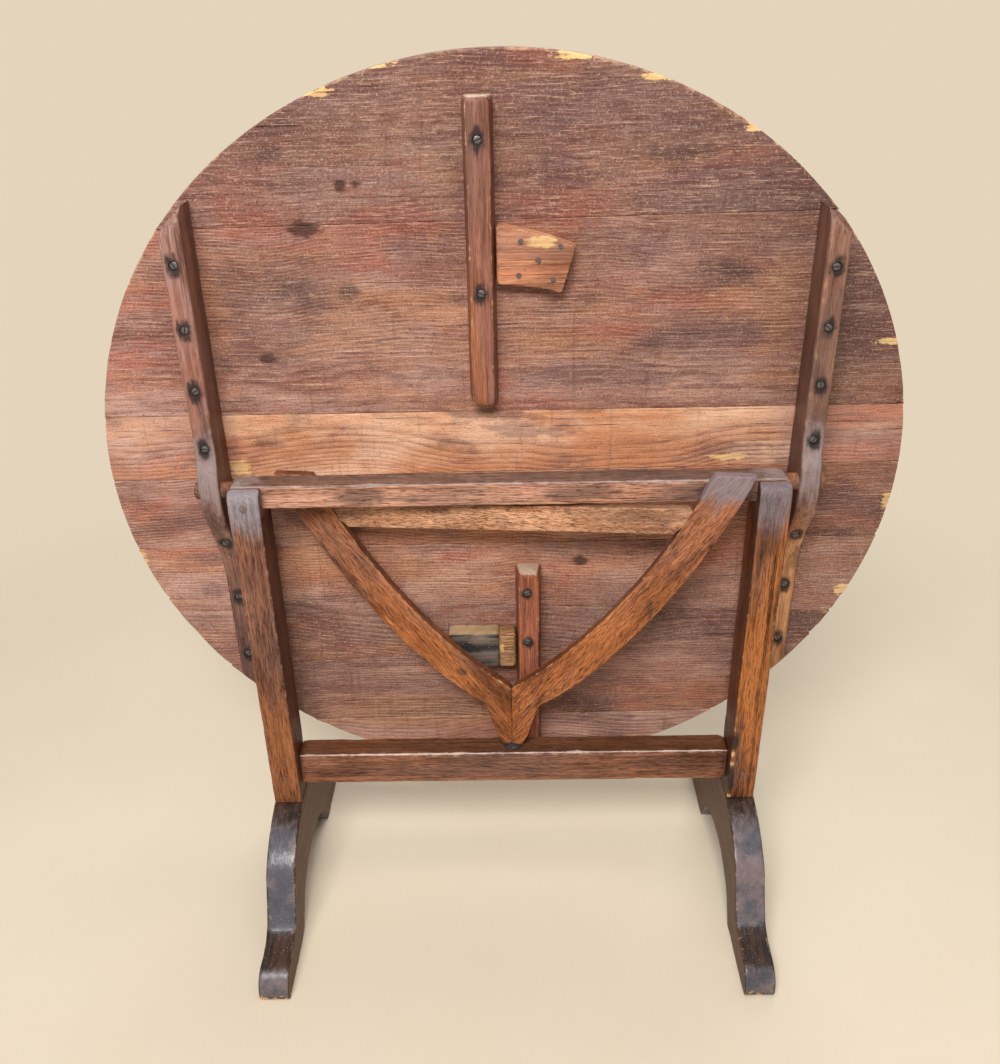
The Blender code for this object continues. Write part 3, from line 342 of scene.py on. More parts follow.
def pine(name, face, back):
    """Dry stained boards: growth rings about a pith behind the face, knots, flecks and a broken rim."""
    g = Graph(name)
    g.shader.inputs["Specular IOR Level"].default_value = DRY
    fixed = g.place()
    place = g.grain(ALONG_X)
    x, y, z = g.split(fixed)
    cloud = g.streaks(place, 3.6, 9.0, 5.0, 0.64)
    mottle = g.streaks(place, 10.0, 24.0, 6.0, 0.68)
    ruddy = g.streaks(g.vector("ADD", place, (3.1, 7.7, 1.9)), 5.0, 15.0, 5.0, 0.66)
    tanned = g.streaks(g.vector("ADD", place, (8.3, 2.9, 5.1)), 5.0, 20.0, 5.0, 0.66)
    chips = g.noise(place, 75.0, 5.0, 0.70)
    fibre = g.streaks(place, 10.0, 340.0, 5.0, 0.66)
    torn = g.times(g.add(chips, fibre), 0.5)

    def marks(spots, share, low, high):
        soft = g.spots(fixed, [((a, face, b), (wide, MARK_DEPTH, tall)) for a, b, wide, tall in spots])
        return g.ragged(soft, torn, share, low, high)

    sway = g.noise(g.join(x, g.attribute("plank", "OBJECT"), 0.0), 2.6, 2.0)
    wobble = g.streaks(place, 3.0, 40.0, 3.0)
    lift = g.add(z, g.times(g.attribute("pith", "OBJECT"), -1.0), g.times(sway, 0.09))
    depth = g.add(y, -face + PITH_BEHIND)
    years = g.vector("LENGTH", g.join(lift, depth, 0.0))
    years = g.math("FRACT", g.times(g.add(years, g.times(wobble, 0.006)), 1 / YEAR))
    late = g.times(g.ramp(years, 0.20, 0.92), g.ramp(mottle, 0.34, 0.60, 0.25, 1.0))

    cool = g.mix(g.ramp(cloud, 0.40, 0.60), tone(162, 112, 102), tone(207, 161, 147))
    cool = g.mix(g.ramp(ruddy, 0.51, 0.61, 0.0, 0.74), cool, tone(198, 118, 98))
    cool = g.mix(g.ramp(tanned, 0.54, 0.64, 0.0, 0.58), cool, tone(212, 152, 114))
    warm = g.mix(g.ramp(cloud, 0.40, 0.60), tone(220, 148, 104), tone(252, 200, 164))
    between = g.ramp(g.math("ABSOLUTE", x), 0.39, 0.33, 0.25, 1.0)
    warmth = g.times(g.attribute("warm", "OBJECT"), between)
    colour = g.mix(warmth, cool, warm)
    can_grey = g.ramp(warmth, 0.2, 1.0, 1.0, 0.15)
    hue = g.streaks(g.vector("ADD", place, (1.3, 4.7, 9.1)), 3.4, 11.0, 5.0, 0.62)
    colour = g.mix(g.ramp(hue, 0.51, 0.61, 0.0, 0.46), colour, tone(204, 138, 96))
    colour = g.mix(g.times(g.ramp(hue, 0.48, 0.38, 0.0, 0.52), can_grey), colour, tone(141, 110, 106))
    colour = g.mix(g.times(marks(WARMED, 2.4, 0.05, 1.00), 0.50), colour, tone(208, 142, 98))
    colour = g.mix(g.times(marks(GREYED, 2.4, 0.05, 1.00), 0.60), colour, tone(141, 111, 107))
    colour = g.mix(g.ramp(mottle, 0.52, 0.63, 0.0, 0.52), colour, tone(126, 98, 96))
    colour = g.mix(g.times(marks(TAN_PATCHES, 3.0, 0.20, 0.95), 0.55), colour, tone(220, 170, 132))
    colour = g.mix(g.times(marks(RED_PATCHES, 2.6, 0.10, 0.90), 0.56), colour, tone(196, 106, 84))
    colour = g.mix(g.times(marks(SMUDGES, 3.0, 0.10, 1.05), 0.66), colour, tone(74, 60, 60))
    # Painted shade darkens the right wing of the top and painted light lightens its left wing; each board's
    # own darkness with age is added to these
    right = g.add(g.ramp(g.add(x, g.times(g.add(cloud, -0.5), 0.20)), 0.27, 0.40, 0.0, 0.26),
                  g.ramp(x, -0.30, -0.40, 0.0, -0.20))
    aged_and_shaded = g.ramp(g.add(right, g.attribute("shade", "OBJECT")), 0.0, 1.0)
    colour = g.mix(aged_and_shaded, colour, tone(80, 57, 52))
    colour = g.mix(g.times(late, 0.54), colour, tone(102, 57, 48))
    colour = g.mix(g.ramp(fibre, 0.56, 0.72, 0.0, 0.44), colour, tone(235, 192, 168))
    colour = g.mix(g.ramp(fibre, 0.45, 0.29, 0.0, 0.52), colour, tone(82, 46, 44))
    hair = g.streaks(place, 44.0, 860.0, 3.0, 0.7)
    dots = g.noise(place, 520.0, 2.0, 0.7)
    colour = g.mix(g.ramp(hair, 0.53, 0.68, 0.0, 0.50), colour, tone(86, 48, 44))
    colour = g.mix(g.ramp(hair, 0.45, 0.33, 0.0, 0.42), colour, tone(237, 190, 162))
    colour = g.mix(g.ramp(dots, 0.56, 0.70, 0.0, 0.68), colour, tone(78, 44, 38))
    colour = g.mix(g.ramp(dots, 0.42, 0.30, 0.0, 0.42), colour, tone(240, 200, 170))
    planed = g.streaks(place, 120.0, 7.0, 4.0, 0.6)
    colour = g.mix(g.ramp(planed, 0.58, 0.72, 0.0, 0.28), colour, tone(88, 58, 56))
    rim = g.attribute("worn")
    flecks = g.ramp(g.streaks(place, 210.0, 330.0, 3.0, 0.70), 0.625, 0.68)
    flecks = g.times(flecks, g.most(g.ramp(tanned, 0.50, 0.62, 0.05, 0.8), g.times(rim, 0.95)))
    colour = g.mix(g.times(flecks, 0.74), colour, tone(234, 196, 158))
    pits = g.ramp(g.noise(place, 300.0, 1.0), 0.735, 0.77)
    cracks = g.ramp(g.streaks(place, 2.6, 260.0, 3.0), 0.69, 0.72)
    hurt = g.most(g.times(pits, 0.8), cracks)
    colour = g.mix(g.times(hurt, 0.66), colour, tone(44, 26, 22))
    knots = marks(KNOTS, 3.4, 0.10, 0.60)
    colour = g.mix(g.times(knots, 0.55), colour, tone(104, 58, 42))
    hearts = marks(KNOTS, 3.6, 0.36, 1.00)
    colour = g.mix(g.times(hearts, 0.72), colour, tone(72, 56, 54))
    edge = g.ramp(g.add(g.attribute("edge"), g.times(chips, 1.5)), 1.72, 1.90)
    colour = g.mix(g.times(edge, 0.50), colour, tone(216, 170, 128))
    rim_bare = g.ramp(g.add(g.ramp(rim, 0.86, 1.0), g.times(torn, 2.0)), 2.10, 2.24)
    stripped = g.most(rim_bare, marks(BARE_PATCHES, 5.0, 0.42, 0.58))
    colour = g.mix(g.times(stripped, g.ramp(fibre, 0.36, 0.56, 0.45, 1.0)), colour, BARE)
    used = g.ramp(y, back - 0.004, back - 0.001)
    colour = g.mix(g.times(used, 0.45), colour, tone(132, 84, 60))

    height = g.add(g.times(late, 0.5), g.times(fibre, 0.8), g.times(flecks, -0.5), g.times(hurt, -0.9),
                   g.times(hearts, g.times(chips, 1.5)))
    return g.finish(colour, g.add(g.ramp(cloud, 0.3, 0.7, 0.52, 0.70), g.times(used, -0.18)), height, 0.0013)


def dark_wood(name, turn, dark, light, sheen_and_wear_tones, flank, gloss, dull):
    """Blackened oak: where it is polished, of the two given tones, which on the feet are a painted
    reflection and on the block worn pale wood; bare where it is chipped, scuffed on its arrises.
    """
    g = Graph(name)
    place = g.grain(turn)
    fibre = g.streaks(place, 8.0, 180.0, 5.0, 0.62)
    cloud = g.noise(place, 24.0, 5.0, 0.62)
    patchy = g.noise(place, 95.0, 5.0, 0.68)
    colour = g.mix(g.ramp(g.add(g.times(fibre, 0.6), g.times(cloud, 0.4)), 0.42, 0.60), dark, light)
    polish = g.ragged(g.attribute("worn"), g.times(g.add(cloud, fibre), 0.5), 1.4, 0.10, 0.85)
    sheen_and_wear = g.mix(g.ramp(g.streaks(place, 14.0, 20.0, 5.0, 0.6), 0.42, 0.58), *sheen_and_wear_tones)
    # On the feet a painted reflection where they are polished; on the block, worn pale wood on top
    colour = g.mix(g.times(polish, g.ramp(patchy, 0.36, 0.62, 0.76, 0.96)), colour, sheen_and_wear)
    colour = g.mix(g.ramp(g.attribute("worn"), 0.0, -1.0, 0.0, 0.60), colour,
                   g.mix(g.ramp(fibre, 0.25, 0.75, 0.35, 1.0), light, flank))
    specks = g.ramp(g.noise(place, 480.0, 2.0, 0.6), 0.67, 0.72)
    colour = g.mix(g.times(specks, 0.6), colour, tone(196, 182, 170))
    edge = g.ramp(g.add(g.attribute("edge"), g.times(patchy, 1.5)), 1.76, 1.98)
    colour = g.mix(g.times(edge, 0.55), colour, tone(168, 142, 126))
    chipped = g.ragged(g.attribute("shade_dirt_and_chips"), patchy, 3.0, 0.50, 0.64)
    colour = g.mix(chipped, colour, BARE)
    height = g.add(g.times(fibre, g.ramp(polish, 0.2, 0.8, 1.0, 0.35)), g.times(patchy, 0.4),
                   g.times(chipped, -0.6))
    roughness = g.add(g.ramp(polish, 0.0, 0.8, dull, gloss), g.times(cloud, 0.16))
    return g.finish(colour, roughness, height, 0.0009)


def iron(name, rust):
    """Old iron, blackened and lightly rusted."""
    g = Graph(name)
    place = g.place()
    cloud = g.noise(place, 320.0, 4.0, 0.6)
    colour = g.mix(g.ramp(cloud, 0.45, 0.65), tone(112, 113, 117), rust)
    g.shader.inputs["Metallic"].default_value = 0.8
    return g.finish(colour, g.ramp(cloud, 0.3, 0.7, 0.30, 0.58), g.noise(place, 900.0, 3.0), 0.0003)


# Worn wood: each piece is lofted through the sections of its solid

def middle_of(node):
    """The middle of a solid's box."""
    low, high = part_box(node)
    return (low + high) / 2


def gate_space():
    """Takes the gate's own space, with its crossbar along X, to the frame."""
    left, right = middle_of("gate_left_peg"), middle_of("gate_right_peg")
    axis = middle_of("gate_lower_pin")
    axis.z = 0.0
    return Matrix.Translation(axis) @ Matrix.Rotation(math.atan2(right.y - left.y, right.x - left.x), 4, "Z")


def sections(node, axis, start, end, space, step, even):
    """Cross sections of a solid along an axis.

    Each is its place, its span along the last axis, and its span along the other axis at
    the low and at the high side of that.
    """
    first, second = [k for k in (X, Y, Z) if k != axis]
    mesh = NODES[node].data
    points = np.empty(len(mesh.vertices) * 3)
    mesh.vertices.foreach_get("co", points)
    back = np.array(space.inverted())
    points = points.reshape(-1, 3) @ back[:3, :3].T + back[:3, 3]
    pairs = np.empty(len(mesh.edges) * 2, int)
    mesh.edges.foreach_get("vertices", pairs)
    tails, heads = points[pairs.reshape(-1, 2)].transpose(1, 0, 2)
    low = points[:, axis].min() if start is None else start
    high = points[:, axis].max() if end is None else end
    shares = np.linspace(0, 1, max(8, round((high - low) / step)) + 1)
    if not even:
        shares = (1 - np.cos(math.pi * shares)) / 2
    margin = 1e-5
    found = []
    for place in np.clip(low + (high - low) * shares, low + margin, high - margin):
        cross = (tails[:, axis] - place) * (heads[:, axis] - place) <= 0
        tail, run = tails[cross], heads[cross] - tails[cross]
        flat = np.abs(run[:, axis]) < 1e-9
        share = np.where(flat, 0.0, (place - tail[:, axis]) / np.where(flat, 1.0, run[:, axis]))
        hits = tail + run * share[:, None]
        a, b = hits[:, first], hits[:, second]
        part = (b.max() - b.min()) * 0.3 + 1e-6
        near, far = a[b <= b.min() + part], a[b >= b.max() - part]
        spans = (b.min(), b.max(), near.min(), near.max(), far.min(), far.max())
        found.append((float(place), *(float(value) for value in spans)))
    return found


def rounded(width, height, radii, side_points):
    """A rectangle about the origin with round corners: (a, b, outward a, outward b, arris) points."""
    corners = ((1, -1, -math.pi / 2), (1, 1, 0.0), (-1, 1, math.pi / 2), (-1, -1, math.pi))
    arcs = []
    for (side, end, turn), radius in zip(corners, radii):
        centre_a, centre_b = side * (width / 2 - radius), end * (height / 2 - radius)
        arc = []
        for i in range(ARC_POINTS):
            angle = turn + math.pi / 2 * i / (ARC_POINTS - 1)
            out_a, out_b = math.cos(angle), math.sin(angle)
            arc.append((centre_a + radius * out_a, centre_b + radius * out_b, out_a, out_b, 1.0))
        arcs.append(arc)
    ring = []
    for arc, following in zip(arcs, arcs[1:] + arcs[:1]):
        ring += arc
        (a0, b0), (a1, b1) = arc[-1][:2], following[0][:2]
        inset = min(EDGE_BAND / max(math.hypot(a1 - a0, b1 - b0), 1e-6), 0.2)
        for i in range(side_points):
            share = blend(inset, 1 - inset, i / (side_points - 1))
            ring.append((blend(a0, a1, share), blend(b0, b1, share), *arc[-1][2:4], 0.0))
    return ring


def worn(node, axis, look, plank, radius=0.0022, chips=0.002, start=None, end=None, space=Matrix(),
         step=0.009, even=True, side_points=4, wear_and_sheen=None, shade_dirt_and_chips=None, closed=None, raised=None):
    """Replaces a solid by a hand-worn piece of the same size.

    Its sections lie about step apart along axis, from start to end, in the turned space.
    radius is how far its arrises are rounded and chips how much deeper they may be broken.
    rubbed(at, out, arris) and grime(at, out) give the attributes of a point from its place and
    its outward direction; closed(at) tells where an arris is held in a joint and stays crisp;
    raised(at) is how much higher than on the solid a point lies.
    """
    first, second = [k for k in (X, Y, Z) if k != axis]
    found = sections(node, axis, start, end, space, step, even)
    head, tail = found[0], found[-1]
    stations = [(*head, END_ROUND), (head[0] + END_ROUND, *head[1:], 0.0)]
    stations += [(*station, 0.0) for station in found[1:-1]]
    stations += [(tail[0] - END_ROUND, *tail[1:], 0.0), (*tail, END_ROUND)]
    bm = bmesh.new()
    # Of these, the second also carries painted highlight and painted reflection, and the third painted shade
    # besides chips
    layers = {name: bm.verts.layers.float.new(name) for name in ("edge", "worn", "shade_dirt_and_chips")}
    turn = space.to_3x3()
    apart = Vector((plank, 0.37 * plank, 0.0))
    rings = []
    for place, low, high, near_low, near_high, far_low, far_high, inset in stations:
        width = max(near_high - near_low, far_high - far_low)
        height = high - low
        inset = min(inset, 0.3 * width, 0.3 * height)
        room = 0.45 * min(width, height) - inset

        def spread(a, b):
            """The point at a across and b up the section, between its slanted sides."""
            share = (b - low) / height if height > 1e-9 else 0.0
            left, right = blend(near_low, far_low, share), blend(near_high, far_high, share)
            at = Vector((0.0, 0.0, 0.0))
            at[axis], at[first], at[second] = place, (left + right) / 2 + a * (right - left) / width, b
            return at

        radii = []
        for side, end_side in ((1, -1), (1, 1), (-1, 1), (-1, -1)):
            at = spread(side * width / 2, high if end_side > 0 else low)
            broken = max(0.0, noise.noise((at + apart) * BREAK_TURNS) - 0.10) * 2.4
            fine = 0.5 + 0.5 * noise.noise((at + apart) * NICK_TURNS)
            size = radius * (0.7 + 0.6 * fine) + chips * broken * (0.4 + fine)
            if closed is not None and closed(space @ at):
                size = radius * 0.4
            radii.append(max(1e-5, min(size, room)))
        ring = []
        for a, b, out_a, out_b, arris in rounded(width - 2 * inset, height - 2 * inset, radii, side_points):
            at = spread(a, b + (low + high) / 2)
            if raised:
                at.z += raised(at)
            dent = WOBBLE * (0.5 + 0.5 * noise.noise((at + apart) * WOBBLE_TURNS))
            out = Vector((0.0, 0.0, 0.0))
            out[first], out[second] = out_a, out_b
            at -= out * dent
            at, out = space @ at, turn @ out
            vert = bm.verts.new(at)
            vert[layers["edge"]] = arris
            vert[layers["worn"]] = wear_and_sheen(at, out, arris) if wear_and_sheen else 0.0
            vert[layers["shade_dirt_and_chips"]] = shade_dirt_and_chips(at, out) if shade_dirt_and_chips else 0.0
            ring.append(vert)
        rings.append(ring)
    bm.faces.new(rings[0])
    bm.faces.new(list(reversed(rings[-1])))
    for near, far in zip(rings, rings[1:]):
        for i in range(len(near)):
            j = (i + 1) % len(near)
            bm.faces.new((near[i], far[i], far[j], near[j]))
    bmesh.ops.recalc_face_normals(bm, faces=bm.faces)
    if bm.calc_volume(signed=True) < 0:
        bmesh.ops.reverse_faces(bm, faces=bm.faces)
    return piece("worn_" + node, bm, look, node, plank)


def shade(mesh):
    """Smooth shading that keeps sharp edges."""
    mesh.shade_smooth()
    mesh.set_sharp_from_angle(angle=SHARP)


def piece(name, bm, look, node, plank=0.0):
    """Makes an object of a mesh, which replaces a node and rides on its body."""
    mesh = bpy.data.meshes.new(name)
    bm.to_mesh(mesh)
    bm.free()
    shade(mesh)
    mesh.materials.append(look)
    made = bpy.data.objects.new(name, mesh)
    bpy.context.scene.collection.objects.link(made)
    made["plank"] = plank
    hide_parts(node)
    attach(made, BODY_OF[node])
    return made


def paint(node, look, plank=0.0):
    """Gives a solid that stays a material of its own."""
    held = NODES[node]
    held.data.materials.clear()
    held.data.materials.append(look)
    held["plank"] = plank


# Screws

SCREW_MARGIN = 0.0009      # counterbore past the head
BORE_DEPTH = 0.0008        # floor of the counterbore behind the front of the head
BORE_REACH = 0.03          # length of the tool that cuts it
BORE_SIDES = 28
SLOT_WIDTH = 0.0013
SLOT_DEPTH = 0.0011
HEAD_DEPTH = 0.0022
HEAD_SIDES = 24
# From the rim of a head to its middle: share of the radius, and depth behind the front
HEAD_PROFILE = ((1.0, HEAD_DEPTH), (1.0, 0.0007), (0.90, 0.0003), (0.66, 0.0001), (0.36, 0.0))
STAIN_DEPTH = 0.020        # how deep rust goes into the wood


def screws_of(row):
    """The screws or nails whose names start alike."""
    return [node for node in NODES if node.startswith(row)]


def bore(made, screws):
    """Cuts the counterbores of the screws into the front of a piece."""
    bm = bmesh.new()
    for node in screws:
        low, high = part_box(node)
        at = (low + high) / 2
        at.y = low.y + BORE_DEPTH - BORE_REACH / 2
        radius = (high.x - low.x) / 2 + SCREW_MARGIN
        bmesh.ops.create_cone(bm, cap_ends=True, segments=BORE_SIDES, radius1=radius, radius2=radius,
                              depth=BORE_REACH,
                              matrix=Matrix.Translation(at) @ Matrix.Rotation(math.pi / 2, 4, "X"))
    mesh = bpy.data.meshes.new("bore")
    bm.to_mesh(mesh)
    bm.free()
    tool = bpy.data.objects.new("bore", mesh)
    bpy.context.scene.collection.objects.link(tool)
    change = made.modifiers.new("bore", "BOOLEAN")
    change.operation = "DIFFERENCE"
    change.solver = "MANIFOLD"
    change.object = tool
    state = bpy.context.evaluated_depsgraph_get()
    cut = bpy.data.meshes.new_from_object(made.evaluated_get(state))
    made.modifiers.clear()
    made.data = cut
    shade(cut)
    bpy.data.objects.remove(tool, do_unlink=True)


def screw_head(node, number, look):
    """A domed head with a driver's slot, turned a different way for each screw."""
    low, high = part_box(node)
    radius = (high.x - low.x) / 2
    centre = (low + high) / 2
    centre.y = low.y
    turn = 0.5 + 2.4 * number
    across = Vector((math.cos(turn), 0.0, math.sin(turn)))
    bm = bmesh.new()
    rings = []
    for share, back in HEAD_PROFILE:
        ring = []
        for i in range(HEAD_SIDES):
            angle = 2 * math.pi * i / HEAD_SIDES
            ring.append(bm.verts.new(centre + Vector((radius * share * math.cos(angle), back,
                                                      radius * share * math.sin(angle)))))
        rings.append(ring)
    bm.faces.new(rings[0])
    bm.faces.new(rings[-1])
    for outer, inner in zip(rings, rings[1:]):
        for i in range(HEAD_SIDES):
            j = (i + 1) % HEAD_SIDES
            bm.faces.new((outer[i], outer[j], inner[j], inner[i]))
    for side in (-1, 1):
        bmesh.ops.bisect_plane(bm, geom=bm.verts[:] + bm.edges[:] + bm.faces[:],
                               plane_co=centre + across * (side * SLOT_WIDTH / 2), plane_no=across)
    bmesh.ops.recalc_face_normals(bm, faces=bm.faces)
    floor = [face for face in bm.faces if face.normal.y < -0.5
             and abs((face.calc_center_median() - centre).dot(across)) < SLOT_WIDTH / 2]
    sunk = bmesh.ops.extrude_face_region(bm, geom=floor)["geom"]
    bmesh.ops.delete(bm, geom=floor, context="FACES")
    lowered = [part for part in sunk if isinstance(part, bmesh.types.BMVert)]
    bmesh.ops.translate(bm, vec=(0.0, SLOT_DEPTH, 0.0), verts=lowered)
    bmesh.ops.recalc_face_normals(bm, faces=bm.faces)
    return piece("head_" + node, bm, look, node)


def stained(nodes, wide, high=None):
    """Ovals of iron stain round the heads of nails or screws."""
    found = []
    for node in nodes:
        at = middle_of(node)
        at.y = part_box(node)[0].y
        found.append((tuple(at), (wide, STAIN_DEPTH, high or wide)))
    return found


# Looks

def side_faces(inner, outer):
    """Painted shade on the faces that look left or right, by whether they look at the middle."""
    return lambda at, out: (inner if at.x * out.x < 0 else outer) * step_up(abs(out.x), 0.5, 0.95)


# How polished a foot is, and so how strong the painted reflection on it, by the distance from the middle of
# its length
FOOT_AT = (0.0, 0.045, 0.080, 0.110, 0.152, 0.161, 0.204, 0.220)
FOOT_POLISH_AND_SHEEN = (0.02, 0.16, 0.66, 0.85, 0.85, 0.02, 0.06, 0.75)
TOE_FROM = 0.212           # distance from that middle at which a toe starts to be chipped
TOE_HIGH = 0.016           # height below which it is chipped
TOE_FADE = 0.010


def foot_polish_and_sheen(at, out, arris):
    """More than 0 where a foot is polished and carries a painted reflection, less on its flanks."""
    polish = float(np.interp(abs(at.y), FOOT_AT, FOOT_POLISH_AND_SHEEN)) * step_up(0.9 - abs(out.x), 0.0, 0.3)
    return polish - step_up(abs(out.x), 0.7, 0.95)


def toe_chips(at, out):
    """Bare wood on the lower edge of a toe."""
    return 0.50 * step_up(TOE_HIGH - at.z, 0.0, TOE_FADE) * step_up(abs(at.y) - TOE_FROM, 0.0, TOE_FADE)


# Damage on the right post beside the stretcher, by height from the stretcher's middle:
# black dents, each with half its height, and bare spots
DENTS = ((0.056, 0.017), (-0.012, 0.030))
BARE_SPOTS = (0.034, 0.018, -0.042)
RAIL_DIRT = ((-0.175, 0.034), (0.10, 0.05), (0.27, 0.03))     # x, and half the width
MARK_REACH = 0.03          # how deep these go
WAXED = 0.35               # specular level of the polished feet


def dress_trestle():
    """The feet, posts, stretcher and rail, and the pegs and pins in them."""
    heads = oak("oak_rail_pegs", ALONG_Y, tone(104, 92, 92), tone(150, 138, 138), tone(60, 40, 32),
                tone(150, 140, 140))
    pins = oak("oak_pins", ALONG_Y, tone(84, 54, 42), tone(156, 114, 92), tone(60, 40, 32),
               tone(170, 150, 140))
    metal = iron("washer_iron", tone(70, 52, 42))
    # The two greys are the painted reflection on the polished parts of the feet
    feet = dark_wood("dark_oak", ALONG_Y, tone(24, 12, 8), tone(72, 46, 34),
                     (tone(92, 92, 102), tone(132, 118, 120)), tone(124, 92, 66), 0.16, 0.50)
    feet.node_tree.nodes["Principled BSDF"].inputs["Specular IOR Level"].default_value = WAXED
    rail_low, rail_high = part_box("top_rail")
    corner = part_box("right_post")[0]
    joint = middle_of("lower_stretcher").z
    knocked = [((corner.x + 0.004, corner.y, joint + up), (0.005, MARK_REACH, tall)) for up, tall in DENTS]
    bared = [((corner.x + 0.003, corner.y, joint + up), (0.003, MARK_REACH, 0.006)) for up in BARE_SPOTS]
    # The third tone of each post is the painted shade on its sides
    posts = {"left": oak("oak_left_post", ALONG_Z, tone(78, 46, 36), tone(170, 116, 92), tone(62, 20, 3),
                         tone(156, 149, 154), 0.35, 0.42, streak=0.7,
                         lower=(tone(72, 40, 25), tone(164, 106, 70), 0.46, 0.24)),
             "right": oak("oak_right_post", ALONG_Z, tone(72, 34, 14), tone(196, 120, 64), tone(54, 17, 2),
                          tone(132, 121, 126), 0.35, 0.40, streak=1.35, stains=knocked, scars=bared,
                          lower=(tone(58, 30, 18), tone(160, 98, 60), 0.27, 0.19))}

    def post_rubbed(at, out, arris):
        """The head of a post, grey from handling."""
        return step_up(at.z, rail_low.z - 0.058, rail_low.z + 0.018) * step_up(-out.y + out.z, -0.2, 0.4)

    for number, hand in enumerate(("left", "right")):
        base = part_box(hand + "_foot")[1].z
        worn(hand + "_post", Z, posts[hand], 1.3 + number, start=base + JOINT_GAP, step=0.0055, even=False,
             wear_and_sheen=post_rubbed, shade_dirt_and_chips=side_faces(0.90, 0.45))
        worn(hand + "_foot", Y, feet, 4.1 + number, radius=0.0030, chips=0.003, step=0.0055, even=False,
             wear_and_sheen=foot_polish_and_sheen, shade_dirt_and_chips=toe_chips)
        paint(hand + "_rail_peg", heads, 5.0 + number)
        for node in ("_pivot_pin", "_stretcher_peg"):
            paint(hand + node, pins, 5.0 + number)

    def front_arris(at, out, arris):
        """The upper arris in front, painted pale: a painted highlight as well as wear."""
        return arris * step_up(out.z, 0.45, 0.80) * step_up(-out.y, 0.3, 0.5)

    def rail_wear_and_highlight(at, out, arris):
        """The front arris, with its painted highlight, and the ends, which are grey from handling."""
        end = step_up(min(at.x - rail_low.x, rail_high.x - at.x), 0.055, 0.020)
        return max(front_arris(at, out, arris), 0.62 * end)

    def upper_face(share):
        """Painted shade on the upper face."""
        return lambda at, out: share * step_up(out.z, 0.5, 0.95)

    rail_face = (rail_low.z + rail_high.z) / 2
    dirt = [((x, rail_low.y, rail_face), (wide, MARK_REACH, 0.012)) for x, wide in RAIL_DIRT]
    # Its third tone is the painted shade on the upper face; its fourth the grey of the worn ends and the
    # painted highlight on the front arris
    rail = oak("oak_rail", ALONG_X, tone(116, 76, 58), tone(234, 174, 146), tone(70, 61, 58),
               tone(178, 160, 154), 0.25, 0.42, streak=0.9, smudges=dirt)
    worn("top_rail", X, rail, 6.4, radius=0.0030, wear_and_sheen=rail_wear_and_highlight, shade_dirt_and_chips=upper_face(0.92))
    # Its third tone is the painted shade on the upper face; its fourth, near white, the painted highlight on
    # the front arris, with some wear
    stretcher = oak("oak_stretcher", ALONG_X, tone(90, 55, 40), tone(178, 120, 92), tone(86, 50, 26),
                    tone(238, 208, 194), 0.30, 0.36)
    worn("lower_stretcher", X, stretcher, 7.7, radius=0.0036, start=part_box("left_post")[1].x + JOINT_GAP,
         end=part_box("right_post")[0].x - JOINT_GAP, wear_and_sheen=front_arris, shade_dirt_and_chips=upper_face(0.85))
    paint("gate_washer", metal)


# Dark marks on the two arms: middle and radii
ARM_MARKS = (((0.187, -0.019, 0.482), (0.005, 0.02, 0.016)), ((-0.062, 0.011, 0.364), (0.010, 0.02, 0.006)))


def dress_gate():
    """The arms and the crossbar of the gate, and what holds them."""
    space = gate_space()
    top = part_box("gate_right_arm")[1].z

    def tip_rubbed(at, out, arris):
        """The tip of the arm."""
        return step_up(at.z, top - 0.046, top - 0.022)

    def upper_side(at, out):
        """Painted shade on all sides but the front and the back."""
        return 0.72 * step_up(abs(out.y), 0.9, 0.4)

    for number, (hand, side) in enumerate((("left", 1), ("right", -1))):
        arm = "gate_%s_arm" % hand
        low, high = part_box(arm)
        slant = side * math.atan2(high.z - low.z, high.x - low.x)
        # The third tone is the painted shade on all but the arm's front and back
        look = oak("oak_" + arm, (0.0, -slant, 0.0), tone(98, 54, 34), tone(200, 130, 92), tone(70, 34, 14),
                   tone(148, 133, 136), 0.70, 0.42, smudges=ARM_MARKS, streak=0.8,
                   lower=(tone(104, 52, 24), tone(214, 132, 76), 0.56, 0.42))
        worn(arm, X, look, 8.2 + number, radius=0.0014, chips=0.001, space=space, step=0.0045,
             wear_and_sheen=tip_rubbed if hand == "right" else None, shade_dirt_and_chips=upper_side)
    # The third tone is the painted shade on all but the crossbar's front and back
    crossbar = oak("oak_crossbar", ALONG_X, tone(146, 92, 64), tone(252, 192, 150), tone(112, 72, 48),
                   tone(226, 202, 180), 0.55, 0.48, streak=0.8)
    worn("gate_crossbar", X, crossbar, 9.9, radius=0.0014, chips=0.001, space=space, shade_dirt_and_chips=upper_side)
    pegs = oak("oak_gate_pegs", ALONG_Y, tone(96, 58, 40), tone(176, 116, 82), tone(70, 44, 30),
               tone(160, 142, 140))
    for node in ("gate_left_peg", "gate_right_peg", "gate_lower_dowel", "gate_upper_dowel"):
        paint(node, pegs)
    metal = iron("pin_iron", tone(88, 62, 48))
    for node in ("gate_lower_pin", "gate_upper_pin"):
        paint(node, metal)


# Each board from the top down: how orange it is, how dark with age, and the height of its pith
BOARDS = ((0.0, 0.54, 1.075), (0.06, 0.34, 0.800), (1.0, 0.0, 0.760), (0.30, 0.16, 0.480),
          (0.35, 0.20, 0.660), (0.10, 0.46, 0.500), (0.15, 0.28, 0.220), (0.25, 0.08, 0.330))


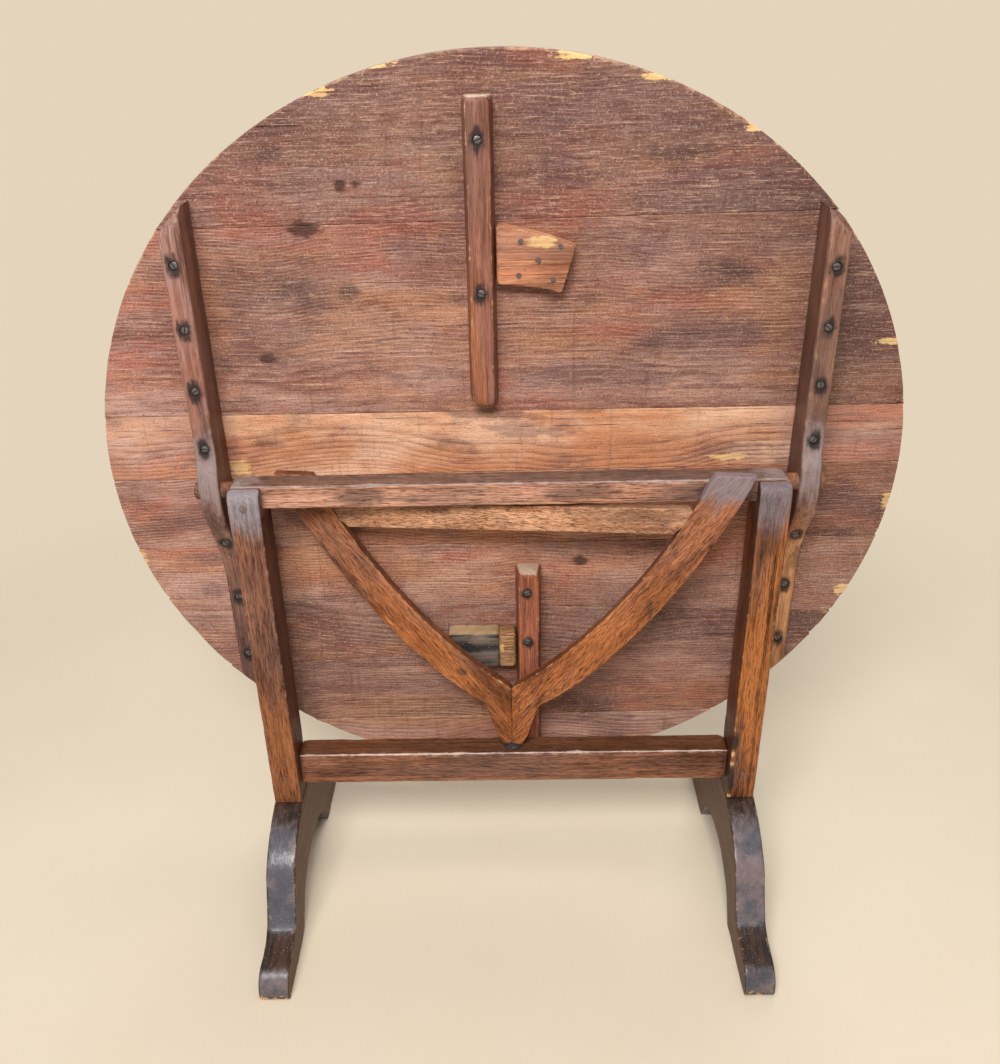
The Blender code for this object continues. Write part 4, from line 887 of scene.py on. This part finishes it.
def dress_boards():
    """The eight boards of the round top."""
    face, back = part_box("board_1")[0].y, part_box("board_1")[1].y
    look = pine("stained_pine", face, back)
    half_wide = (cad_high.x - cad_low.x) / 2
    top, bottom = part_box("board_1")[1].z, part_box("board_8")[0].z

    def reach(at):
        """1 on the rim, less inside it."""
        return math.hypot(at.x / half_wide, (at.z - (top + bottom) / 2) / ((top - bottom) / 2))

    for number, (warm, dark, pith) in enumerate(BOARDS, 1):
        made = worn("board_%d" % number, X, look, float(number), radius=0.0022, chips=0.004, step=0.011,
                    even=False, side_points=6, closed=lambda at: reach(at) < 0.985,
                    wear_and_sheen=lambda at, out, arris: step_up(reach(at), 0.86, 1.0))
        made["warm"] = warm
        made["shade"] = dark
        made["pith"] = pith


BLUNT = 0.002              # worn off the pointed lower ends of the battens
BATTEN_SCREWS = 7          # in each batten


def dress_battens():
    """The battens and stop bars across the boards, and their screws."""
    metal = iron("screw_iron", tone(112, 100, 92))
    pivot = middle_of("left_pivot_pin")
    # The third tone of each batten is the painted shade on its sides, lighter on the left batten
    tones = {"left": (tone(98, 63, 56), tone(187, 144, 133), tone(84, 48, 28)),
             "right": (tone(88, 56, 44), tone(168, 124, 104), tone(62, 32, 20))}
    # Painted light: the lower end of the right batten is golden wood, made lighter still where the post's
    # shadow falls on it
    lower = {"left": (tone(84, 52, 44), tone(160, 114, 96), 0.60, 0.52),
             "right": (tone(166, 102, 60), tone(254, 190, 134), 0.62, 0.54)}
    front, back = (corner.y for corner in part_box("left_batten"))

    def cornered(at, out):
        """Painted shade on the sides, deeper towards the boards."""
        return step_up(abs(out.x), 0.5, 0.95) * blend(0.10, 0.95, step_up(at.y, front, back))

    def swell_rubbed(at, out, arris):
        """The front of the swelling round the pivot."""
        near = step_up(0.075 - abs(at.z - pivot.z - 0.030), 0.0, 0.05)
        return 0.9 * near * step_up(-out.y, 0.2, 0.8)

    for number, hand in enumerate(("left", "right")):
        screws = screws_of(hand + "_batten_screw")
        look = oak("oak_%s_batten" % hand, ALONG_Z, *tones[hand], tone(160, 140, 138), 0.20, 0.38,
                   stains=stained(screws, 0.0095, 0.0150), lower=lower[hand],
                   glow=tone(176, 112, 84), pored=0.35)
        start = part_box(hand + "_batten")[0].z + BLUNT
        made = worn(hand + "_batten", Z, look, 2.6 + number, radius=0.0034, chips=0.0015, step=0.006,
                    start=start, wear_and_sheen=swell_rubbed, shade_dirt_and_chips=cornered)
        bore(made, screws)
        for count, node in enumerate(screws):
            screw_head(node, count + BATTEN_SCREWS * number, metal)
    bars = (("upper", tone(92, 54, 42), tone(178, 120, 100), 0.0085, 0.014),
            ("lower", tone(98, 48, 31), tone(196, 121, 92), 0.0080, 0.010))
    for number, (name, dark, light, wide, high) in enumerate(bars):
        screws = screws_of(name + "_bar_screw")
        # The third tone is the painted shade on the sides of the bar
        look = oak("oak_%s_bar" % name, ALONG_Z, dark, light, tone(112, 62, 34), tone(214, 190, 164),
                   0.60, 0.46, stains=stained(screws, wide, high), streak=0.7, pored=0.40)
        bar = name + "_stop_bar"
        bar_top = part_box(bar)[1].z
        made = worn(bar, Z, look, 11.3 + number, radius=0.0018, chips=0.002, step=0.006,
                    wear_and_sheen=lambda at, out, arris: 0.9 * step_up(at.z, bar_top - 0.002, bar_top - 0.0005),
                    shade_dirt_and_chips=side_faces(0.45, 0.45))
        bore(made, screws)
        for count, node in enumerate(screws):
            screw_head(node, count + 2 * BATTEN_SCREWS + 1, metal)


# The hand-sawn plate against its arc: rise of its upper edge at the left, fall of it and of the
# lower edge at the right
PLATE_RISE = 0.006
PLATE_FALL = 0.009
PLATE_SAG = 0.0035
# Bare places: middle and radii
PLATE_BARE = (((0.050, 0.044, 0.939), (0.021, 0.02, 0.008)),)
END_BARE = (((-0.0065, 0.0377, 0.385), (0.004, 0.02, 0.010)),)


def dress_pads():
    """The plate and the two blocks on the boards, and the plate's nails."""
    nails = screws_of("plate_nail")
    plate = oak("oak_plate", ALONG_X, tone(128, 78, 58), tone(232, 160, 122), tone(110, 70, 50),
                tone(230, 190, 150), 0.60, 0.52, streak=0.9, stains=stained(nails, 0.0032),
                scars=PLATE_BARE, pored=0.35)
    low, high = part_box("wear_plate")

    def slanted(at):
        """How far the hand-sawn plate lies above its arc."""
        along = (at.x - low.x) / (high.x - low.x)
        up = (at.z - low.z) / (high.z - low.z)
        return up * blend(PLATE_RISE, -PLATE_FALL, along) - (1 - up) * PLATE_SAG * along ** 2

    worn("wear_plate", X, plate, 12.1, radius=0.0015, chips=0.0015, step=0.004, raised=slanted)
    block = dark_wood("blackened_block", ALONG_X, tone(40, 38, 40), tone(128, 112, 100),
                      (tone(196, 164, 122), tone(178, 146, 108)), tone(90, 80, 74), 0.45, 0.55)
    worn("wear_block", X, block, 13.0, radius=0.0018, step=0.004,
         wear_and_sheen=lambda at, out, arris: 0.8 * step_up(out.z, 0.5, 0.95))
    end = oak("oak_end_block", ALONG_X, tone(124, 84, 54), tone(212, 164, 116), tone(96, 64, 40),
              tone(230, 200, 150), 0.60, 0.52, scars=END_BARE)
    worn("end_block", X, end, 14.0, radius=0.0018, step=0.004)
    metal = iron("nail_iron", tone(112, 80, 60))
    for node in nails:
        paint(node, metal)


# Studio

PALE = tone(228, 212, 188)     # what lies behind the object
FLOOR_REACH = 7.0
FADE_FROM = 0.75               # distance at which the floor starts to fade into that
FADE_TO = 1.8
WORLD_LIGHT = 0.19
# Soft lamps: name, place, target, width and height, power
LAMPS = (("key", (-0.4, -1.9, 2.5), (0.0, 0.0, 0.6), (1.2, 0.7), 68),
         ("overhead", (0.2, -0.1, 3.0), (0.0, 0.0, 0.0), (2.6, 1.4), 30),
         ("back", (0.6, 2.4, 2.4), (0.0, 0.0, 0.6), (2.4, 1.4), 34))


def pale_floor():
    """A plain floor that takes the object's shadow and fades into the pale background."""
    bm = bmesh.new()
    for x, y in ((-1, -1), (1, -1), (1, 1), (-1, 1)):
        bm.verts.new((x * FLOOR_REACH, y * FLOOR_REACH, 0.0))
    bm.faces.new(bm.verts)
    mesh = bpy.data.meshes.new("floor")
    bm.to_mesh(mesh)
    bm.free()
    g = Graph("pale_floor")
    cloud = g.noise(g.place(), 3.0, 5.0, 0.6)
    colour = g.mix(cloud, tone(222, 206, 180), tone(230, 216, 194))
    mesh.materials.append(g.finish(colour, 0.85, cloud, 0.0005))
    far = g.ramp(g.vector("LENGTH", g.place()), FADE_FROM, FADE_TO)
    shown = g.node("ShaderNodeEmission")
    shown.inputs["Color"].default_value = PALE
    either = g.node("ShaderNodeMixShader")
    path = g.node("ShaderNodeLightPath").outputs
    seen = g.most(path["Is Camera Ray"], path["Is Glossy Ray"], path["Is Transmission Ray"])
    g.feed(either.inputs[0], g.times(far, seen))
    g.feed(either.inputs[1], g.shader.outputs[0])
    g.feed(either.inputs[2], shown.outputs[0])
    g.feed(g.tree.nodes["Material Output"].inputs["Surface"], either.outputs[0])
    floor = bpy.data.objects.new("floor", mesh)
    bpy.context.scene.collection.objects.link(floor)


def soft_lamps():
    """The lamps in front of the object, above it and behind it."""
    for name, at, target, size, power in LAMPS:
        light = bpy.data.lights.new(name, "AREA")
        light.shape = "RECTANGLE"
        light.size, light.size_y = size
        light.energy = power
        made = bpy.data.objects.new(name, light)
        made.location = at
        made.rotation_euler = (Vector(target) - Vector(at)).to_track_quat("-Z", "Y").to_euler()
        bpy.context.scene.collection.objects.link(made)


def pale_world():
    """Even light, which the camera and shiny surfaces see as the pale background."""
    world = bpy.data.worlds.new("studio")
    world.use_nodes = True
    tree = world.node_tree
    tree.nodes["Background"].inputs["Color"].default_value = (1.0, 0.99, 0.97, 1.0)
    tree.nodes["Background"].inputs["Strength"].default_value = WORLD_LIGHT
    shown = tree.nodes.new("ShaderNodeBackground")
    shown.inputs["Color"].default_value = PALE
    path = tree.nodes.new("ShaderNodeLightPath")
    seen = path.outputs["Is Camera Ray"]
    for also in ("Is Glossy Ray", "Is Transmission Ray"):
        most = tree.nodes.new("ShaderNodeMath")
        most.operation = "MAXIMUM"
        tree.links.new(seen, most.inputs[0])
        tree.links.new(path.outputs[also], most.inputs[1])
        seen = most.outputs[0]
    either = tree.nodes.new("ShaderNodeMixShader")
    tree.links.new(seen, either.inputs[0])
    tree.links.new(tree.nodes["Background"].outputs[0], either.inputs[1])
    tree.links.new(shown.outputs[0], either.inputs[2])
    tree.links.new(either.outputs[0], tree.nodes["World Output"].inputs[0])
    bpy.context.scene.world = world


def camera():
    """The camera of the photograph."""
    ahead = Vector((math.sin(CAMERA_YAW) * math.cos(CAMERA_PITCH),
                    math.cos(CAMERA_YAW) * math.cos(CAMERA_PITCH), -math.sin(CAMERA_PITCH)))
    level = Vector((math.cos(CAMERA_YAW), -math.sin(CAMERA_YAW), 0.0))
    raised = level.cross(ahead)
    right = level * math.cos(CAMERA_ROLL) + raised * math.sin(CAMERA_ROLL)
    up = raised * math.cos(CAMERA_ROLL) - level * math.sin(CAMERA_ROLL)
    lens = bpy.data.cameras.new("camera")
    lens.sensor_width = SENSOR
    lens.lens = FOCAL_PX / max(IMAGE_WIDTH, IMAGE_HEIGHT) * SENSOR
    made = bpy.data.objects.new("camera", lens)
    made.matrix_world = Matrix((right, up, -ahead)).transposed().to_4x4()
    made.location = CAMERA_AT
    bpy.context.scene.collection.objects.link(made)
    bpy.context.scene.camera = made


camera()
pale_floor()
soft_lamps()
pale_world()
dress_trestle()
dress_gate()
dress_boards()
dress_battens()
dress_pads()
bpy.context.scene.view_settings.view_transform = "Standard"
bpy.context.view_layer.update()
